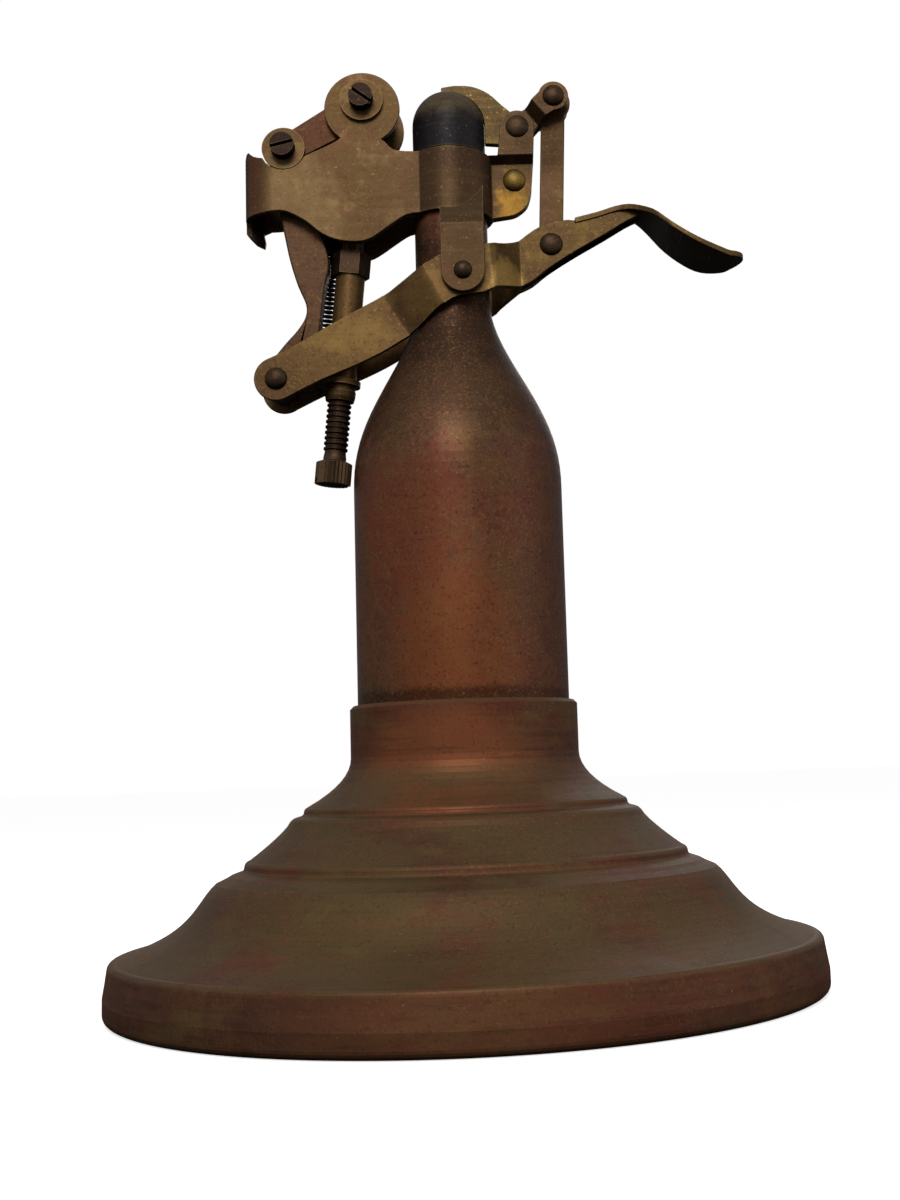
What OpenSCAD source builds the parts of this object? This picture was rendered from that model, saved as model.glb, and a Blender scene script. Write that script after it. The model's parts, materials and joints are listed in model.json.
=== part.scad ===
// Table lighter: a bottle-shaped fuel tank on a spun base, with a sheet-metal
// frame clamped round its neck. Pressing the thumb lever turns the flint wheel
// and lifts the snuffer cap off the wick in one stroke.
// Origin: centre of the base on the table. Front: -Y. Thumb lever: +X. Up: +Z.

/* [Base] */
// Largest radius of the spun base
base_r = 52; // [48:0.5:58]
// Height of the upright band round the foot
band_h = 7.9; // [6.5:0.1:9]
// Sheet thickness of the base
base_wall = 0.9; // [0.6:0.05:1.2]
// Height of the top of the collar that holds the tank
collar_top = 42.6; // [39:0.1:46]
// Wall of the collar round the tank
collar_wall = 1.15; // [0.8:0.05:1.8]
// Height where the collar starts to flare
cove_top = 35; // [33.5:0.1:36.5]
// Radius of the upper bead ring
bead1_r = 23.9; // [22.5:0.1:25]
// Height of the upper bead ring
bead1_z = 28.1; // [27.2:0.1:29]
// Radius of the lower bead ring
bead2_r = 32.5; // [31:0.1:34]
// Height of the lower bead ring
bead2_z = 20.8; // [20.2:0.1:21.6]
// Height of the underside of the tank
tank_floor_z = 26; // [24:0.5:27]
// Radius of the hand hole in the weight and the base plate
hand_hole_r = 12; // [9:0.5:13]
// Thickness of the base plate
base_plate_t = 0.8; // [0.5:0.1:1.2]
// Thickness of the felt under the base
felt_t = 0.6; // [0.4:0.1:1]

/* [Tank] */
// Outer radius of the tank
tank_r = 15.8; // [14.8:0.1:16.8]
// Sheet thickness of the tank
tank_wall = 0.6; // [0.4:0.05:0.8]
// Height where the shoulder starts
shoulder_z = 75; // [68:0.5:78]
// Height where the shoulder meets the neck
neck_z = 105; // [102:0.5:106]
// Outer radius of the neck
neck_r = 5.65; // [5.3:0.05:5.9]
// Height of the top of the neck
neck_top = 127.5; // [125:0.5:135]
// Radius of the wick
wick_r = 2.4; // [1.8:0.1:2.6]
// Height of the wick above the neck
wick_up = 5.2; // [4:0.1:5.5]
// Wall of the wick tube
wick_tube_wall = 0.5; // [0.3:0.05:0.8]
// Radius of the thread on the filler plug
filler_r = 4; // [3:0.1:4.5]

/* [Frame] */
// Sheet thickness of the frame strap
strap_t = 0.9; // [0.7:0.05:1]
// Distance between the outer faces of the two side plates
frame_w = 9.7; // [9.4:0.1:10.2]
// Height of the strap where it wraps the neck
strap_h = 9.9; // [9:0.1:11]
// Distance from the tank's axis to the folded end
fold_x = 31.8; // [31.4:0.1:33]
// Radius of the round ears that hold the wheel axle
ear_r = 5.8; // [5.5:0.1:6.3]
// Distance from the tank's axis to the wheel axle
axle_x = 13.1; // [12.8:0.1:13.6]
// Height of the wheel axle above the neck
axle_up = 8.2; // [7.8:0.1:8.6]
// Width of the legs that carry the lever
leg_w = 6.6; // [6:0.1:7.4]
// Distance of the lever pivot below the top of the neck
lever_down = 20.3; // [19.9:0.1:20.7]
// Offset of the lever pivot from the tank's axis
lever_x = 1.9; // [1.5:0.1:2.3]

/* [Lever] */
// Sheet thickness of the lever
lever_t = 0.9; // [0.7:0.05:1]
// Distance from the lever pivot to the push rod pin
arm_len = 32.38; // [31.8:0.02:33]
// Slope of the fork arms below level, in degrees
arm_slope = 27.6; // [26.6:0.1:28.6]
// Distance between the outer faces of the fork at the push rod
fork_w = 9.3; // [9.1:0.1:9.7]
// Width of the thumb pad
pad_w = 13; // [11.5:0.5:15]
// Reach of the thumb pad from the tank's axis
pad_x = 45.5; // [44.5:0.5:48]

/* [Spark gear] */
// Distance from the wheel axle to the push rod pin
crank_len = 14.15; // [13.9:0.05:14.3]
// Slope of the crank arms below level, in degrees
crank_slope = 30.2; // [29.6:0.1:30.8]
// Radius of the flint wheel
wheel_r = 4.9; // [4.6:0.05:5.1]
// Number of teeth on the flint wheel
wheel_teeth = 36; // [24:1:48]
// Number of ratchet teeth
ratchet_teeth = 12; // [10:1:14]
// Lean of the flint tube from upright, in degrees
tube_lean = 5.8; // [5:0.1:6.4]
// Outer radius of the flint tube
tube_r = 2.25; // [2.2:0.05:2.4]
// Radius of the flint
flint_r = 1.25; // [1:0.05:1.3]
// Radius of the thread of the flint screw
screw_r = 1.85; // [1.7:0.05:1.9]
// Pitch of that thread
screw_pitch = 0.85; // [0.5:0.01:0.95]
// Radius of the knurled head of the flint screw
knob_r = 2.75; // [2.5:0.05:3]
// Number of ribs round the knurled head
knob_ribs = 28; // [20:1:36]
// Mean radius of the return spring
coil_r = 1.05; // [0.9:0.05:1.15]
// Wire radius of the return spring
wire_r = 0.2; // [0.15:0.01:0.22]
// Turns of the return spring
coil_turns = 28; // [20:1:30]

/* [Cap gear] */
// Outer radius of the snuffer cap
cap_r = 5.65; // [5.5:0.05:5.8]
// Wall of the snuffer cap
cap_wall = 0.7; // [0.5:0.05:0.8]
// Straight height of the snuffer cap below its dome
cap_skirt = 5; // [4.6:0.1:5.4]
// Distance from the tank's axis to the cap pivot
hinge_x = 10.8; // [10.5:0.1:11.1]
// Height of the cap pivot above the neck
hinge_up = 4.6; // [4.3:0.1:4.9]
// Distance from the cap pivot to the link pin
lug_len = 7.4; // [7.2:0.05:7.6]
// Slope of that line above level, in degrees
lug_slope = 38.4; // [37.4:0.1:39.4]
// Width of the link
link_w = 3.75; // [3.2:0.05:4]

/* [Hidden] */
$fn = 48;
// Clearance of a pin in its hole, of fixed parts, and between moving plates
pin_fit = 0.05;
seat_fit = 0.02;
side_gap = 0.2;
// How far solids of one piece run into each other
bite = 0.3;
// Hole and pin radii
pin_r = 1.0;
axle_r = 1.2;
// Play left at the two pins where the closed linkages are opened
rod_play = 0.45;
link_play = 0.25;
collar_r = tank_r + seat_fit + collar_wall;
neck_in = neck_r - tank_wall;
wrap_in = neck_r + seat_fit;
wrap_out = wrap_in + strap_t;
frame_o = frame_w / 2;
frame_i = frame_o - strap_t;
fork_o = fork_w / 2;
fork_i = fork_o - lever_t;
fold_c = -fold_x + frame_o;
axle = [-axle_x, neck_top + axle_up];
ear = [-axle_x, neck_top + axle_up - 1.15];
rod_top = axle - crank_len * [cos(crank_slope), sin(crank_slope)];
lever_p = [lever_x, neck_top - lever_down];
rod_foot = lever_p - arm_len * [cos(arm_slope), sin(arm_slope)];
hinge = [hinge_x, neck_top + hinge_up];
link_top = hinge + lug_len * [cos(lug_slope), sin(lug_slope)];
link_foot = lever_p + [13.6, 5.9];
strap_pin = [hinge_x - 0.7, neck_top - 3.6];
// Lever arms and legs stand clear of the neck and the shoulder
arm_i = neck_r + 0.75;
arm_o = arm_i + lever_t;
leg_i = arm_o + side_gap;
leg_o = leg_i + strap_t;
// Narrow channel of the lever that holds the link
link_t = 1.2;
chan_i = link_t / 2 + 0.3;
chan_o = chan_i + lever_t;
// Clevis of the frame that holds the cap gear
lug_t = 0.75;
clevis_i = link_t / 2 + lug_t + side_gap;
clevis_o = clevis_i + strap_t;
lug_i = clevis_o;
lug_o = lug_i + lug_t;
hub_r = 2.65;
// Crank arms run between the side plates
crank_o = frame_i - side_gap;
crank_i = crank_o - 0.8;
washer_r = 3.3;
washer_t = 0.7;
head_r = 1.85;
head_h = 2;
cap_z = neck_top + 0.55;
dome_z = cap_z + cap_skirt;
cap_top = dome_z + cap_r;
// Stations along the flint tube, measured down from the axle
neck_s = wheel_r + 0.6;
nut_s = 23.1;
nut_len = 3.6;
tube_s = nut_s + nut_len;
ferrule_s = 44.9;
tube_end_s = 46.5;
thread_end_s = 55.2;
knob_s = 56.1;
knob_end_s = 59.5;
guide_z = neck_top - 10.2;
guide_h = 5;

// Colours of the metals
c_copper = [0.36, 0.2, 0.13];
c_brass = [0.45, 0.36, 0.22];
c_worn = [0.6, 0.48, 0.22];
c_cap = [0.16, 0.17, 0.2];
c_steel = [0.3, 0.28, 0.26];

// Catmull-Rom curve through a few points, with a number of steps per span
function spline(p, steps, closed) = let(n = len(p), last = closed ? n - 1 : n - 2)
    concat([for (i = [0:last], j = [0:steps - 1]) let(
        t = j / steps,
        a = p[closed ? (i + n - 1) % n : max(i - 1, 0)],
        b = p[i],
        c = p[(i + 1) % n],
        d = p[closed ? (i + 2) % n : min(i + 2, n - 1)])
        0.5 * (2 * b + (c - a) * t + (2 * a - 5 * b + 4 * c - d) * t * t
            + (3 * b - a - 3 * c + d) * t * t * t)],
        closed ? [] : [p[n - 1]]);
function reverse(p) = [for (i = [len(p) - 1:-1:0]) p[i]];
function mirrored(p) = [for (q = p) [q[0], -q[1]]];
function arc(c, r, a0, a1, n) = [for (i = [0:n]) let(a = a0 + (a1 - a0) * i / n) c + r * [cos(a), sin(a)]];

// Extrudes an outline drawn in X and Z from y0 to y1
module slab(y0, y1) {
    translate([0, y1, 0]) rotate([90, 0, 0]) linear_extrude(y1 - y0) children();
}

// Round bar along Y
module bar(p, r, y0, y1) {
    translate([p[0], y1, p[1]]) rotate([90, 0, 0]) cylinder(r = r, h = y1 - y0);
}

// Domed head that stands on y and points to -Y
module dome(p, y, r, h) {
    translate([p[0], y, p[1]]) rotate([90, 0, 0])
        rotate_extrude() polygon(concat([[pin_r / 2, -bite], [pin_r / 2, 0]],
            [for (a = [0:15:75]) [r * cos(a), h * sin(a)]], [[0, h], [0, -bite]]));
}

// Rivet along Y with a domed head at each end
module rivet(p, shank, y, r, h) {
    bar(p, shank, -y, y);
    dome(p, -y, r, h);
    mirror([0, 1, 0]) dome(p, -y, r, h);
}

// Slotted cheese head that stands on y and points to -Y
module slotted_head(p, y, turn) {
    difference() {
        bar(p, head_r, y - head_h, y);
        translate([p[0], y - head_h, p[1]]) rotate([0, turn, 0]) cube([5, 1.4, 0.55], center = true);
    }
}

// Both halves of a piece that is alike in front and behind
module both() {
    children();
    mirror([0, 1, 0]) children();
}

// Frame of the flint tube: Z runs up its axis, with zero at the axle
module on_tube() {
    translate([axle[0], 0, axle[1]]) rotate([0, tube_lean, 0]) children();
}

// Outline of the base from the collar down to the table
foot_c = [base_r - 1.2, 1.2];
ogee_top = [bead2_r + 2.6, bead2_z - 2.4];
ogee_end = [base_r - 2, band_h];
cove2_top = [bead1_r + 1.95, bead1_z - 1.95];
// A soft lip, then a hollow that turns out into the next slope
function bead(r, z, lip) = concat(arc([r - lip, z - lip], lip, 75, 0, 5),
    [[r + 0.06, z - 1.35 * lip], [r + 0.25, z - 1.65 * lip], [r + 0.62, z - 1.86 * lip], [r + 1.1, z - 2.02 * lip]]);
base_curve = concat(
    [for (i = [0:8]) let(t = i / 8)
        [collar_r + (bead1_r - 0.7 - collar_r) * t * t, cove_top - (cove_top - bead1_z - 0.1) * t]],
    bead(bead1_r, bead1_z, 0.7),
    [[bead1_r + 1.55, bead1_z - 1.6]],
    [for (i = [0:7]) let(t = i / 7)
        cove2_top + [(bead2_r - 0.85 - cove2_top[0]) * pow(t, 1.25), (bead2_z + 0.1 - cove2_top[1]) * t]],
    bead(bead2_r, bead2_z, 0.85),
    [[bead2_r + 1.9, bead2_z - 2]],
    [for (i = [0:16]) let(t = i / 16)
        ogee_top + [(ogee_end[0] - ogee_top[0]) * (0.45 * pow(t, 0.55) + 0.55 * pow(t, 3.6)),
            (ogee_end[1] - ogee_top[1]) * t]]);
band_curve = concat(
    arc([base_r - 1.5, band_h - 0.9], 0.9, 80, 5, 4),
    [[base_r, 3.2]],
    arc(foot_c, 1.2, 0, -90, 5));

module base_shell() {
    color(c_copper) rotate_extrude($fn = 96) polygon(concat(
        [[tank_r + seat_fit, collar_top], [collar_r - 0.5, collar_top], [collar_r, collar_top - 0.5]],
        base_curve,
        band_curve,
        [[base_r - 1.2 - base_wall, 0], [base_r - 0.6 - base_wall, 1.6], [base_r - 0.8 - base_wall, 5.2]],
        [for (p = reverse(base_curve)) [max(p[0] - base_wall, tank_r + seat_fit), p[1] - base_wall]]));
}

weight_r = base_r - 5;
weight_top = 12;
base_plate_z = felt_t + base_plate_t;
module base_weight() {
    color(c_steel) rotate_extrude() polygon([[hand_hole_r, base_plate_z], [weight_r, base_plate_z],
        [weight_r, 5.2], [base_r - 13, 10], [bead2_r, weight_top], [tank_r + 1, weight_top],
        [tank_r + 1, tank_floor_z - 1.5], [tank_r - 0.5, tank_floor_z], [hand_hole_r, tank_floor_z]]);
}

module base_plate() {
    color(c_copper) translate([0, 0, felt_t]) difference() {
        cylinder(r = base_r - 2.4, h = base_plate_t);
        translate([0, 0, -1]) cylinder(r = hand_hole_r, h = base_plate_t + 2);
    }
}

module base_felt() {
    color([0.16, 0.2, 0.14]) difference() {
        cylinder(r = base_r - 3.2, h = felt_t);
        translate([0, 0, -1]) cylinder(r = hand_hole_r + 1, h = felt_t + 2);
    }
}

// Radius of the tank at a height on its shoulder
function shoulder(t) = neck_r + (tank_r - neck_r) * (1 + cos(180 * pow(t, 1.15))) / 2;
tank_curve = concat([[tank_r, tank_floor_z]],
    [for (i = [0:20]) let(t = i / 20) [shoulder(t), shoulder_z + (neck_z - shoulder_z) * t]],
    [[neck_r, neck_top]]);

module tank_shell() {
    color(c_copper) rotate_extrude($fn = 96) polygon(concat(tank_curve,
        [for (p = reverse(tank_curve)) [p[0] - tank_wall, p[1]]]));
}

plug_len = 4;
module tank_bottom() {
    color(c_copper) translate([0, 0, tank_floor_z]) difference() {
        union() {
            cylinder(r = tank_r - tank_wall - seat_fit, h = 1);
            cylinder(r = filler_r + 1.5, h = plug_len);
        }
        translate([0, 0, -1]) cylinder(r = filler_r + seat_fit, h = plug_len + 2);
    }
}

module filler_plug() {
    color(c_brass) translate([0, 0, tank_floor_z]) difference() {
        union() {
            cylinder(r = filler_r, h = plug_len - 0.4);
            translate([0, 0, -1.6]) cylinder(r = filler_r + 1.5, h = 1.6);
        }
        translate([0, 0, -1.6]) cube([20, 1.2, 1.6], center = true);
    }
}

cotton_z = tank_floor_z + plug_len + 1;
module cotton_packing() {
    color([0.85, 0.82, 0.74]) translate([0, 0, cotton_z]) difference() {
        cylinder(r = tank_r - tank_wall - 0.3, h = shoulder_z - cotton_z - 1);
        translate([0, 0, -1]) cylinder(r = wick_r + 0.1, h = shoulder_z);
    }
}

module wick() {
    color([0.8, 0.76, 0.66]) translate([0, 0, cotton_z])
        cylinder(r = wick_r, h = neck_top + wick_up - cotton_z);
}

wick_tube_r = wick_r + seat_fit + wick_tube_wall;
module wick_tube() {
    color(c_brass) rotate_extrude() polygon([[wick_r + seat_fit, neck_top - 6],
        [neck_in - seat_fit, neck_top - 6], [neck_in - seat_fit, neck_top], [neck_r, neck_top],
        [neck_r, neck_top + 0.4], [wick_tube_r, neck_top + 0.4],
        [wick_tube_r, neck_top + wick_up - 1.8], [wick_r + seat_fit, neck_top + wick_up - 1.8]]);
}

// Side outlines of the frame, with heights from the top of the neck
plate_low = [[-28.5, -9.2], [-26, -9], [-24.4, -9.4], [-22, -10.8], [-20, -12.5], [-17.8, -13.7],
    [-15.2, -14.2], [-13, -14.1], [-11.2, -13.2], [-8.6, -11.4], [-6.6, -10.2], [-4.6, -strap_h]];
plate_high = [[-5.8, 0], [-7.2, 0.1], [-8.6, 0.5], [-9.6, 1.6]];
ear_foot = [[-16.2, 2.6], [-17.2, 1.9], [-18.6, 1.15], [-20.2, 0.45], [-21.9, -0.3]];
// The top edge dips round the washer of the crank screw
washer_dip = arc(rod_top - [0, neck_top], washer_r + 0.25, -25, -155, 8);
horn_high = [[-fold_x + 2.6, -0.25], [-fold_x + 1.8, 0.15], [-fold_x + 1.2, 0.75], [-fold_x + 0.85, 1.25],
    [-fold_x + 0.5, 1.2], [-fold_x + 0.15, 0.7], [-fold_x - 1, 0.2]];
fold_low = [[-fold_x - 1, -9.3], [-fold_x + 1.2, -9.3]];
hook_low = [[-fold_x - 1, -10.2], [-fold_x + 0.3, -11.2], [-fold_x + 1.2, -11.9], [-fold_x + 2.3, -12.2],
    [-fold_x + 2.45, -11.2], [-fold_x + 2.2, -9.9]];

module plate_outline(low) {
    translate([0, neck_top]) {
        polygon(concat([[0, -strap_h], [0, 0]],
            spline(plate_high, 3, false),
            [[-ear_r * 0.5 - axle_x + 2.6, 4]],
            [[-axle_x - 2.6, 4]],
            spline(ear_foot, 3, false),
            washer_dip,
            horn_high,
            low,
            spline(plate_low, 3, false)));
        translate(ear - [0, neck_top]) circle(ear_r);
    }
}

// Front half of the strap: side plate and folded end
module strap_half(low) {
    slab(-frame_o, -frame_i) intersection() {
        plate_outline(low);
        translate([fold_c, neck_top - 20]) square([-fold_c - wrap_in * 0.72, 40]);
    }
    intersection() {
        translate([fold_c, 0, neck_top - 20]) difference() {
            cylinder(r = frame_o, h = 25);
            translate([0, 0, -1]) cylinder(r = frame_i, h = 27);
        }
        slab(-20, 0) intersection() {
            plate_outline(low);
            translate([fold_c - 10, neck_top - 20]) square([10.01, 40]);
        }
    }
}

// Band round the neck, open between the side plates
module wrap_band() {
    translate([0, 0, leg_top]) difference() {
        cylinder(r = wrap_out, h = strap_h);
        translate([-20, -frame_i, -1]) cube([20, 2 * frame_i, strap_h + 2]);
    }
}

// Front leg: slopes out of the wrap to clear the lever
leg_top = neck_top - strap_h;
leg_r = leg_w / 2;
leg_root = 3.7;
module leg() {
    intersection() {
        translate([-leg_r + lever_x, 0, 0]) rotate([90, 0, 90]) linear_extrude(leg_w) polygon([
            [-leg_root + 0.2, leg_top + 5], [-leg_root, leg_top + 5], [-leg_o, leg_top - 3],
            [-leg_o, lever_p[1] - 5], [-leg_i, lever_p[1] - 5], [-leg_i, leg_top - 3.3],
            [-wrap_in + 0.07, leg_top - 0.35], [-leg_root + 0.2, leg_top - 0.35]]);
        slab(-20, 0) union() {
            translate(lever_p) circle(leg_r);
            translate([lever_x - leg_r, lever_p[1]]) square([leg_w, 20]);
        }
    }
}

// Front flange: the halves meet at the seam and open into a clevis above it
flange_x = hinge_x + 2.4;
module flange() {
    intersection() {
        translate([wrap_in, 0, 0]) rotate([90, 0, 90]) linear_extrude(20) polygon([
            [0, leg_top - 1], [-strap_t, leg_top - 1], [-strap_t, neck_top - 1],
            [-clevis_o, neck_top], [-clevis_o, hinge[1] + 4], [-clevis_i, hinge[1] + 4],
            [-clevis_i, neck_top + 0.5], [0, neck_top - 0.6]]);
        slab(-10, 0) union() {
            translate(hinge) circle(hub_r);
            polygon(concat([[wrap_in, leg_top], [wrap_in, neck_top], [hinge_x - 3.2, neck_top],
                [hinge_x - hub_r, hinge[1]], [hinge_x + hub_r, hinge[1]], [flange_x, neck_top]],
                spline([[flange_x - 0.5, neck_top - 5.6], [flange_x - 1.2, neck_top - 7.7],
                    [flange_x - 2.9, neck_top - 9.1], [flange_x - 4.6, neck_top - 9.5]], 4, false)));
        }
    }
}

module frame_strap() {
    color(c_brass) difference() {
        union() {
            strap_half(fold_low);
            mirror([0, 1, 0]) strap_half(hook_low);
            wrap_band();
            both() {
                leg();
                flange();
            }
        }
        translate([0, 0, neck_top - 30]) cylinder(r = wrap_in, h = 34);
        bar(axle, axle_r + seat_fit, -20, 20);
        bar(lever_p, pin_r + seat_fit, -20, 20);
        bar(hinge, pin_r + seat_fit, -20, 20);
        bar(strap_pin, pin_r + seat_fit, -20, 20);
    }
}

module strap_rivet() {
    color(c_worn) rivet(strap_pin, pin_r, strap_t, 1.8, 0.9);
}

guide_r = 1.95;
guide_c = axle[0] - (axle[1] - guide_z - guide_h / 2) * tan(tube_lean);
module flint_guide() {
    color(c_brass) difference() {
        translate([guide_c - guide_r, -frame_i + seat_fit, guide_z])
            cube([2 * guide_r, 2 * (frame_i - seat_fit), guide_h]);
        on_tube() translate([0, 0, -40]) cylinder(r = flint_r + 0.4 + seat_fit, h = 80);
    }
}

module axle_screw() {
    color(c_brass) {
        slotted_head(axle, -frame_o - washer_t, 37);
        bar(axle, axle_r, -frame_o - washer_t - bite, frame_o + 2.2);
    }
}

module washer(p, y) {
    difference() {
        bar(p, washer_r, y - washer_t, y);
        bar(p, axle_r + seat_fit, y - washer_t - 1, y + 1);
    }
}

module axle_washer() {
    color(c_brass) washer(axle, -frame_o);
}

module hex_nut(p, y, r, t) {
    difference() {
        translate([p[0], y + t, p[1]]) rotate([90, 0, 0]) cylinder(r = r, h = t, $fn = 6);
        bar(p, axle_r + seat_fit, y - 1, y + t + 1);
    }
}

module axle_nut() {
    color(c_brass) hex_nut(axle, frame_o, 2.9, 1.8);
}

// Ring of pointed teeth between two radii
function teeth(n, r0, r1, lead) = [for (i = [0:n - 1], k = [0, 1])
    let(a = 360 / n * (i + k * lead)) (k == 0 ? r0 : r1) * [cos(a), sin(a)]];

wheel_w = 3.2;
ratchet_r = 3.3;
module flint_wheel() {
    color(c_steel) difference() {
        union() {
            slab(-wheel_w / 2, wheel_w / 2) translate(axle)
                polygon(teeth(wheel_teeth, wheel_r - 0.28, wheel_r, 0.5));
            bar(axle, 2.2, -crank_i + side_gap, 0);
        }
        bar(axle, axle_r + pin_fit, -20, 20);
    }
}

module ratchet_wheel() {
    color(c_steel) difference() {
        slab(wheel_w / 2, crank_i - side_gap) translate(axle)
            polygon(teeth(ratchet_teeth, ratchet_r, ratchet_r - 0.7, 0.06));
        bar(axle, axle_r + pin_fit, -20, 20);
    }
}

crank_dir = [cos(crank_slope), sin(crank_slope)];
crank_side = [-sin(crank_slope), cos(crank_slope)];
module crank_arm(pins) {
    difference() {
        union() {
            bar(axle, 3.4, -crank_o, -crank_i);
            bar(rod_top, 2.5, -crank_o, -crank_i);
            slab(-crank_o, -crank_i) polygon([rod_top + 2.1 * crank_side, axle + 2.6 * crank_side,
                axle - 3.2 * crank_side, rod_top - 2.3 * crank_side]);
        }
        bar(axle, axle_r + pin_fit, -20, 20);
        bar(rod_top, axle_r + seat_fit, -20, 20);
        for (p = pins) bar(p[0], p[1] + seat_fit, -20, 20);
    }
}

pawl_p = axle + 6.2 * [cos(197), sin(197)];
pawl_pin_r = 0.5;
post_p = axle - 6.6 * crank_dir - 2.2 * crank_side;
post_r = 0.5;
module crank_arm_front() {
    color(c_copper) crank_arm([]);
}

module crank_arm_rear() {
    color(c_copper) mirror([0, 1, 0]) crank_arm([[pawl_p, pawl_pin_r], [post_p, post_r]]);
}

module crank_screw() {
    color(c_brass) {
        slotted_head(rod_top, -crank_o - washer_t, -14);
        bar(rod_top, axle_r, -crank_o - washer_t - bite, crank_o + 1.5);
    }
}

module crank_washer() {
    color(c_brass) washer(rod_top, -crank_o);
}

module crank_nut() {
    color(c_brass) hex_nut(rod_top, crank_o, 2.7, 1.2);
}

pawl_y = wheel_w / 2 + 0.1;
pawl_t = 0.8;
pawl_tip = axle + (ratchet_r - 0.18) * [cos(154), sin(154)];
module pawl() {
    color(c_steel) difference() {
        union() {
            bar(pawl_p, 1.1, pawl_y, pawl_y + pawl_t);
            slab(pawl_y, pawl_y + pawl_t) polygon([pawl_p + [-0.95, 0.3], pawl_p + [-0.2, 2.2],
                pawl_p + [1.2, 3.4], pawl_tip + [-0.15, 0.75], pawl_tip, pawl_p + [0.95, 0.4]]);
        }
        bar(pawl_p, pawl_pin_r + pin_fit, -20, 20);
    }
}

module pawl_pin() {
    color(c_steel) bar(pawl_p, pawl_pin_r, pawl_y, crank_o);
}

// Leaf spring on the rear crank arm, with its free end behind the pawl
leaf_foot = pawl_p + [-3.2, -1.6];
module pawl_spring() {
    color(c_steel) slab(pawl_y + 0.1, crank_i) polygon([leaf_foot + [-0.5, -0.5], leaf_foot + [0.5, -0.5],
        leaf_foot + [0.5, 0.5], leaf_foot + [0.25, 0.9], pawl_p + [-1.4, 0.35], pawl_p + [-0.65, 2.3],
        pawl_p + [-0.87, 2.4], pawl_p + [-1.65, 0.4], leaf_foot + [-0.1, 0.9], leaf_foot + [-0.5, 0.5]]);
}

spring_y = frame_i - 1.75;
module spring_post() {
    color(c_steel) bar(post_p, post_r, spring_y - 0.7, crank_o);
}

// Return spring: one unbroken wire from the anchor to the post
anchor_s = 43.7;
anchor_x = axle[0] - anchor_s * sin(tube_lean) - tube_r - 1.25;
anchor_z = axle[1] - anchor_s * cos(tube_lean);
coil_foot = [anchor_x, spring_y, anchor_z - 1.2];
coil_head = [post_p[0], spring_y, post_p[1] - post_r - 0.1];
coil_span = norm(coil_head - coil_foot);
coil_lean = atan2(coil_head[0] - coil_foot[0], coil_head[2] - coil_foot[2]);
coil_tail = 3;
coil_rings = 8;
coil_len = coil_span - 2 * coil_tail;
coil_pitch = coil_len / coil_turns;
ring_count = coil_turns * coil_rings;
ease = coil_rings / 2;
function coil_point(i) = let(
    a = 360 * i / coil_rings,
    r = coil_r * min(1, i / ease, (ring_count - i) / ease))
    [r * cos(a), r * sin(a), coil_tail + coil_len * i / ring_count];
coil_path = concat([[0, 0, 0], [0, 0, coil_tail - 2 * wire_r]],
    [for (i = [0:ring_count]) coil_point(i)],
    [[0, 0, coil_span - coil_tail + 2 * wire_r], [0, 0, coil_span]]);
function unit(v) = v / norm(v);
function path_dir(p, i) = unit(p[min(i + 1, len(p) - 1)] - p[max(i - 1, 0)]);
// Each ring is turned by the plane through the spring's axis, so sides never twist
function ring_side(d, i) = let(a = 360 * (i - 2) / coil_rings, q = [cos(a), sin(a), 0])
    unit(q - (q * d) * d);
function tube_points(p, r, sides) = [for (i = [0:len(p) - 1]) let(
    d = path_dir(p, i), u = ring_side(d, min(max(i, 2), ring_count + 2)), v = cross(d, u))
    for (k = [0:sides - 1]) p[i] + r * (cos(360 * k / sides) * u + sin(360 * k / sides) * v)];
function tube_faces(n, s) = concat(
    [for (k = [1:s - 2]) [0, k, k + 1]],
    [for (i = [0:n - 2], k = [0:s - 1]) let(a = i * s + k, b = i * s + (k + 1) % s) [a, b + s, b]],
    [for (i = [0:n - 2], k = [0:s - 1]) let(a = i * s + k, b = i * s + (k + 1) % s) [a, a + s, b + s]],
    [for (k = [1:s - 2]) let(o = (n - 1) * s) [o, o + k + 1, o + k]]);
// Least gap between one curl and the next, measured on the points of the path
coil_gap = min([for (i = [2 + coil_rings:8 + 3 * coil_rings], j = [i + 5:i + 2 * coil_rings])
    norm(coil_path[i] - coil_path[j])]) - 2 * wire_r;
echo(least_gap_between_curls = coil_gap, curls = coil_turns);

module return_spring() {
    color(c_steel) translate(coil_foot) rotate([0, coil_lean, 0])
        polyhedron(tube_points(coil_path, wire_r, 6), tube_faces(len(coil_path), 6));
}

// Clip on the flint tube with a tab that holds the foot of the spring
module spring_anchor() {
    color(c_brass) difference() {
        union() {
            on_tube() translate([0, 0, -anchor_s - 0.4]) cylinder(r = tube_r + 0.7, h = 0.8);
            translate([anchor_x - 0.9, 0, anchor_z - 0.35])
                cube([1.8, spring_y + 0.9, 0.7]);
        }
        on_tube() translate([0, 0, -anchor_s - 5]) cylinder(r = tube_r + seat_fit, h = 10);
        translate([anchor_x, spring_y, anchor_z - 3]) cylinder(r = wire_r + 0.25, h = 6);
    }
}

neck_tube_r = flint_r + 0.4;
screw_bore = screw_r + pin_fit;
module flint_tube() {
    color(c_brass) on_tube() rotate_extrude() polygon([[flint_r + pin_fit, -neck_s], [neck_tube_r, -neck_s],
        [neck_tube_r, -tube_s], [tube_r, -tube_s], [tube_r, -ferrule_s], [tube_r + 0.1, -ferrule_s - 0.1],
        [tube_r + 0.05, -tube_end_s + 0.6], [tube_r - 0.1, -tube_end_s], [screw_bore, -tube_end_s], [screw_bore, -tube_s - 3],
        [flint_r + pin_fit, -tube_s - 3]]);
}

module flint_tube_nut() {
    color(c_brass) on_tube() translate([0, 0, -nut_s - nut_len]) difference() {
        cylinder(r = 2.95, h = nut_len, $fn = 6);
        translate([0, 0, -1]) cylinder(r = neck_tube_r + seat_fit, h = nut_len + 2);
    }
}

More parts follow.
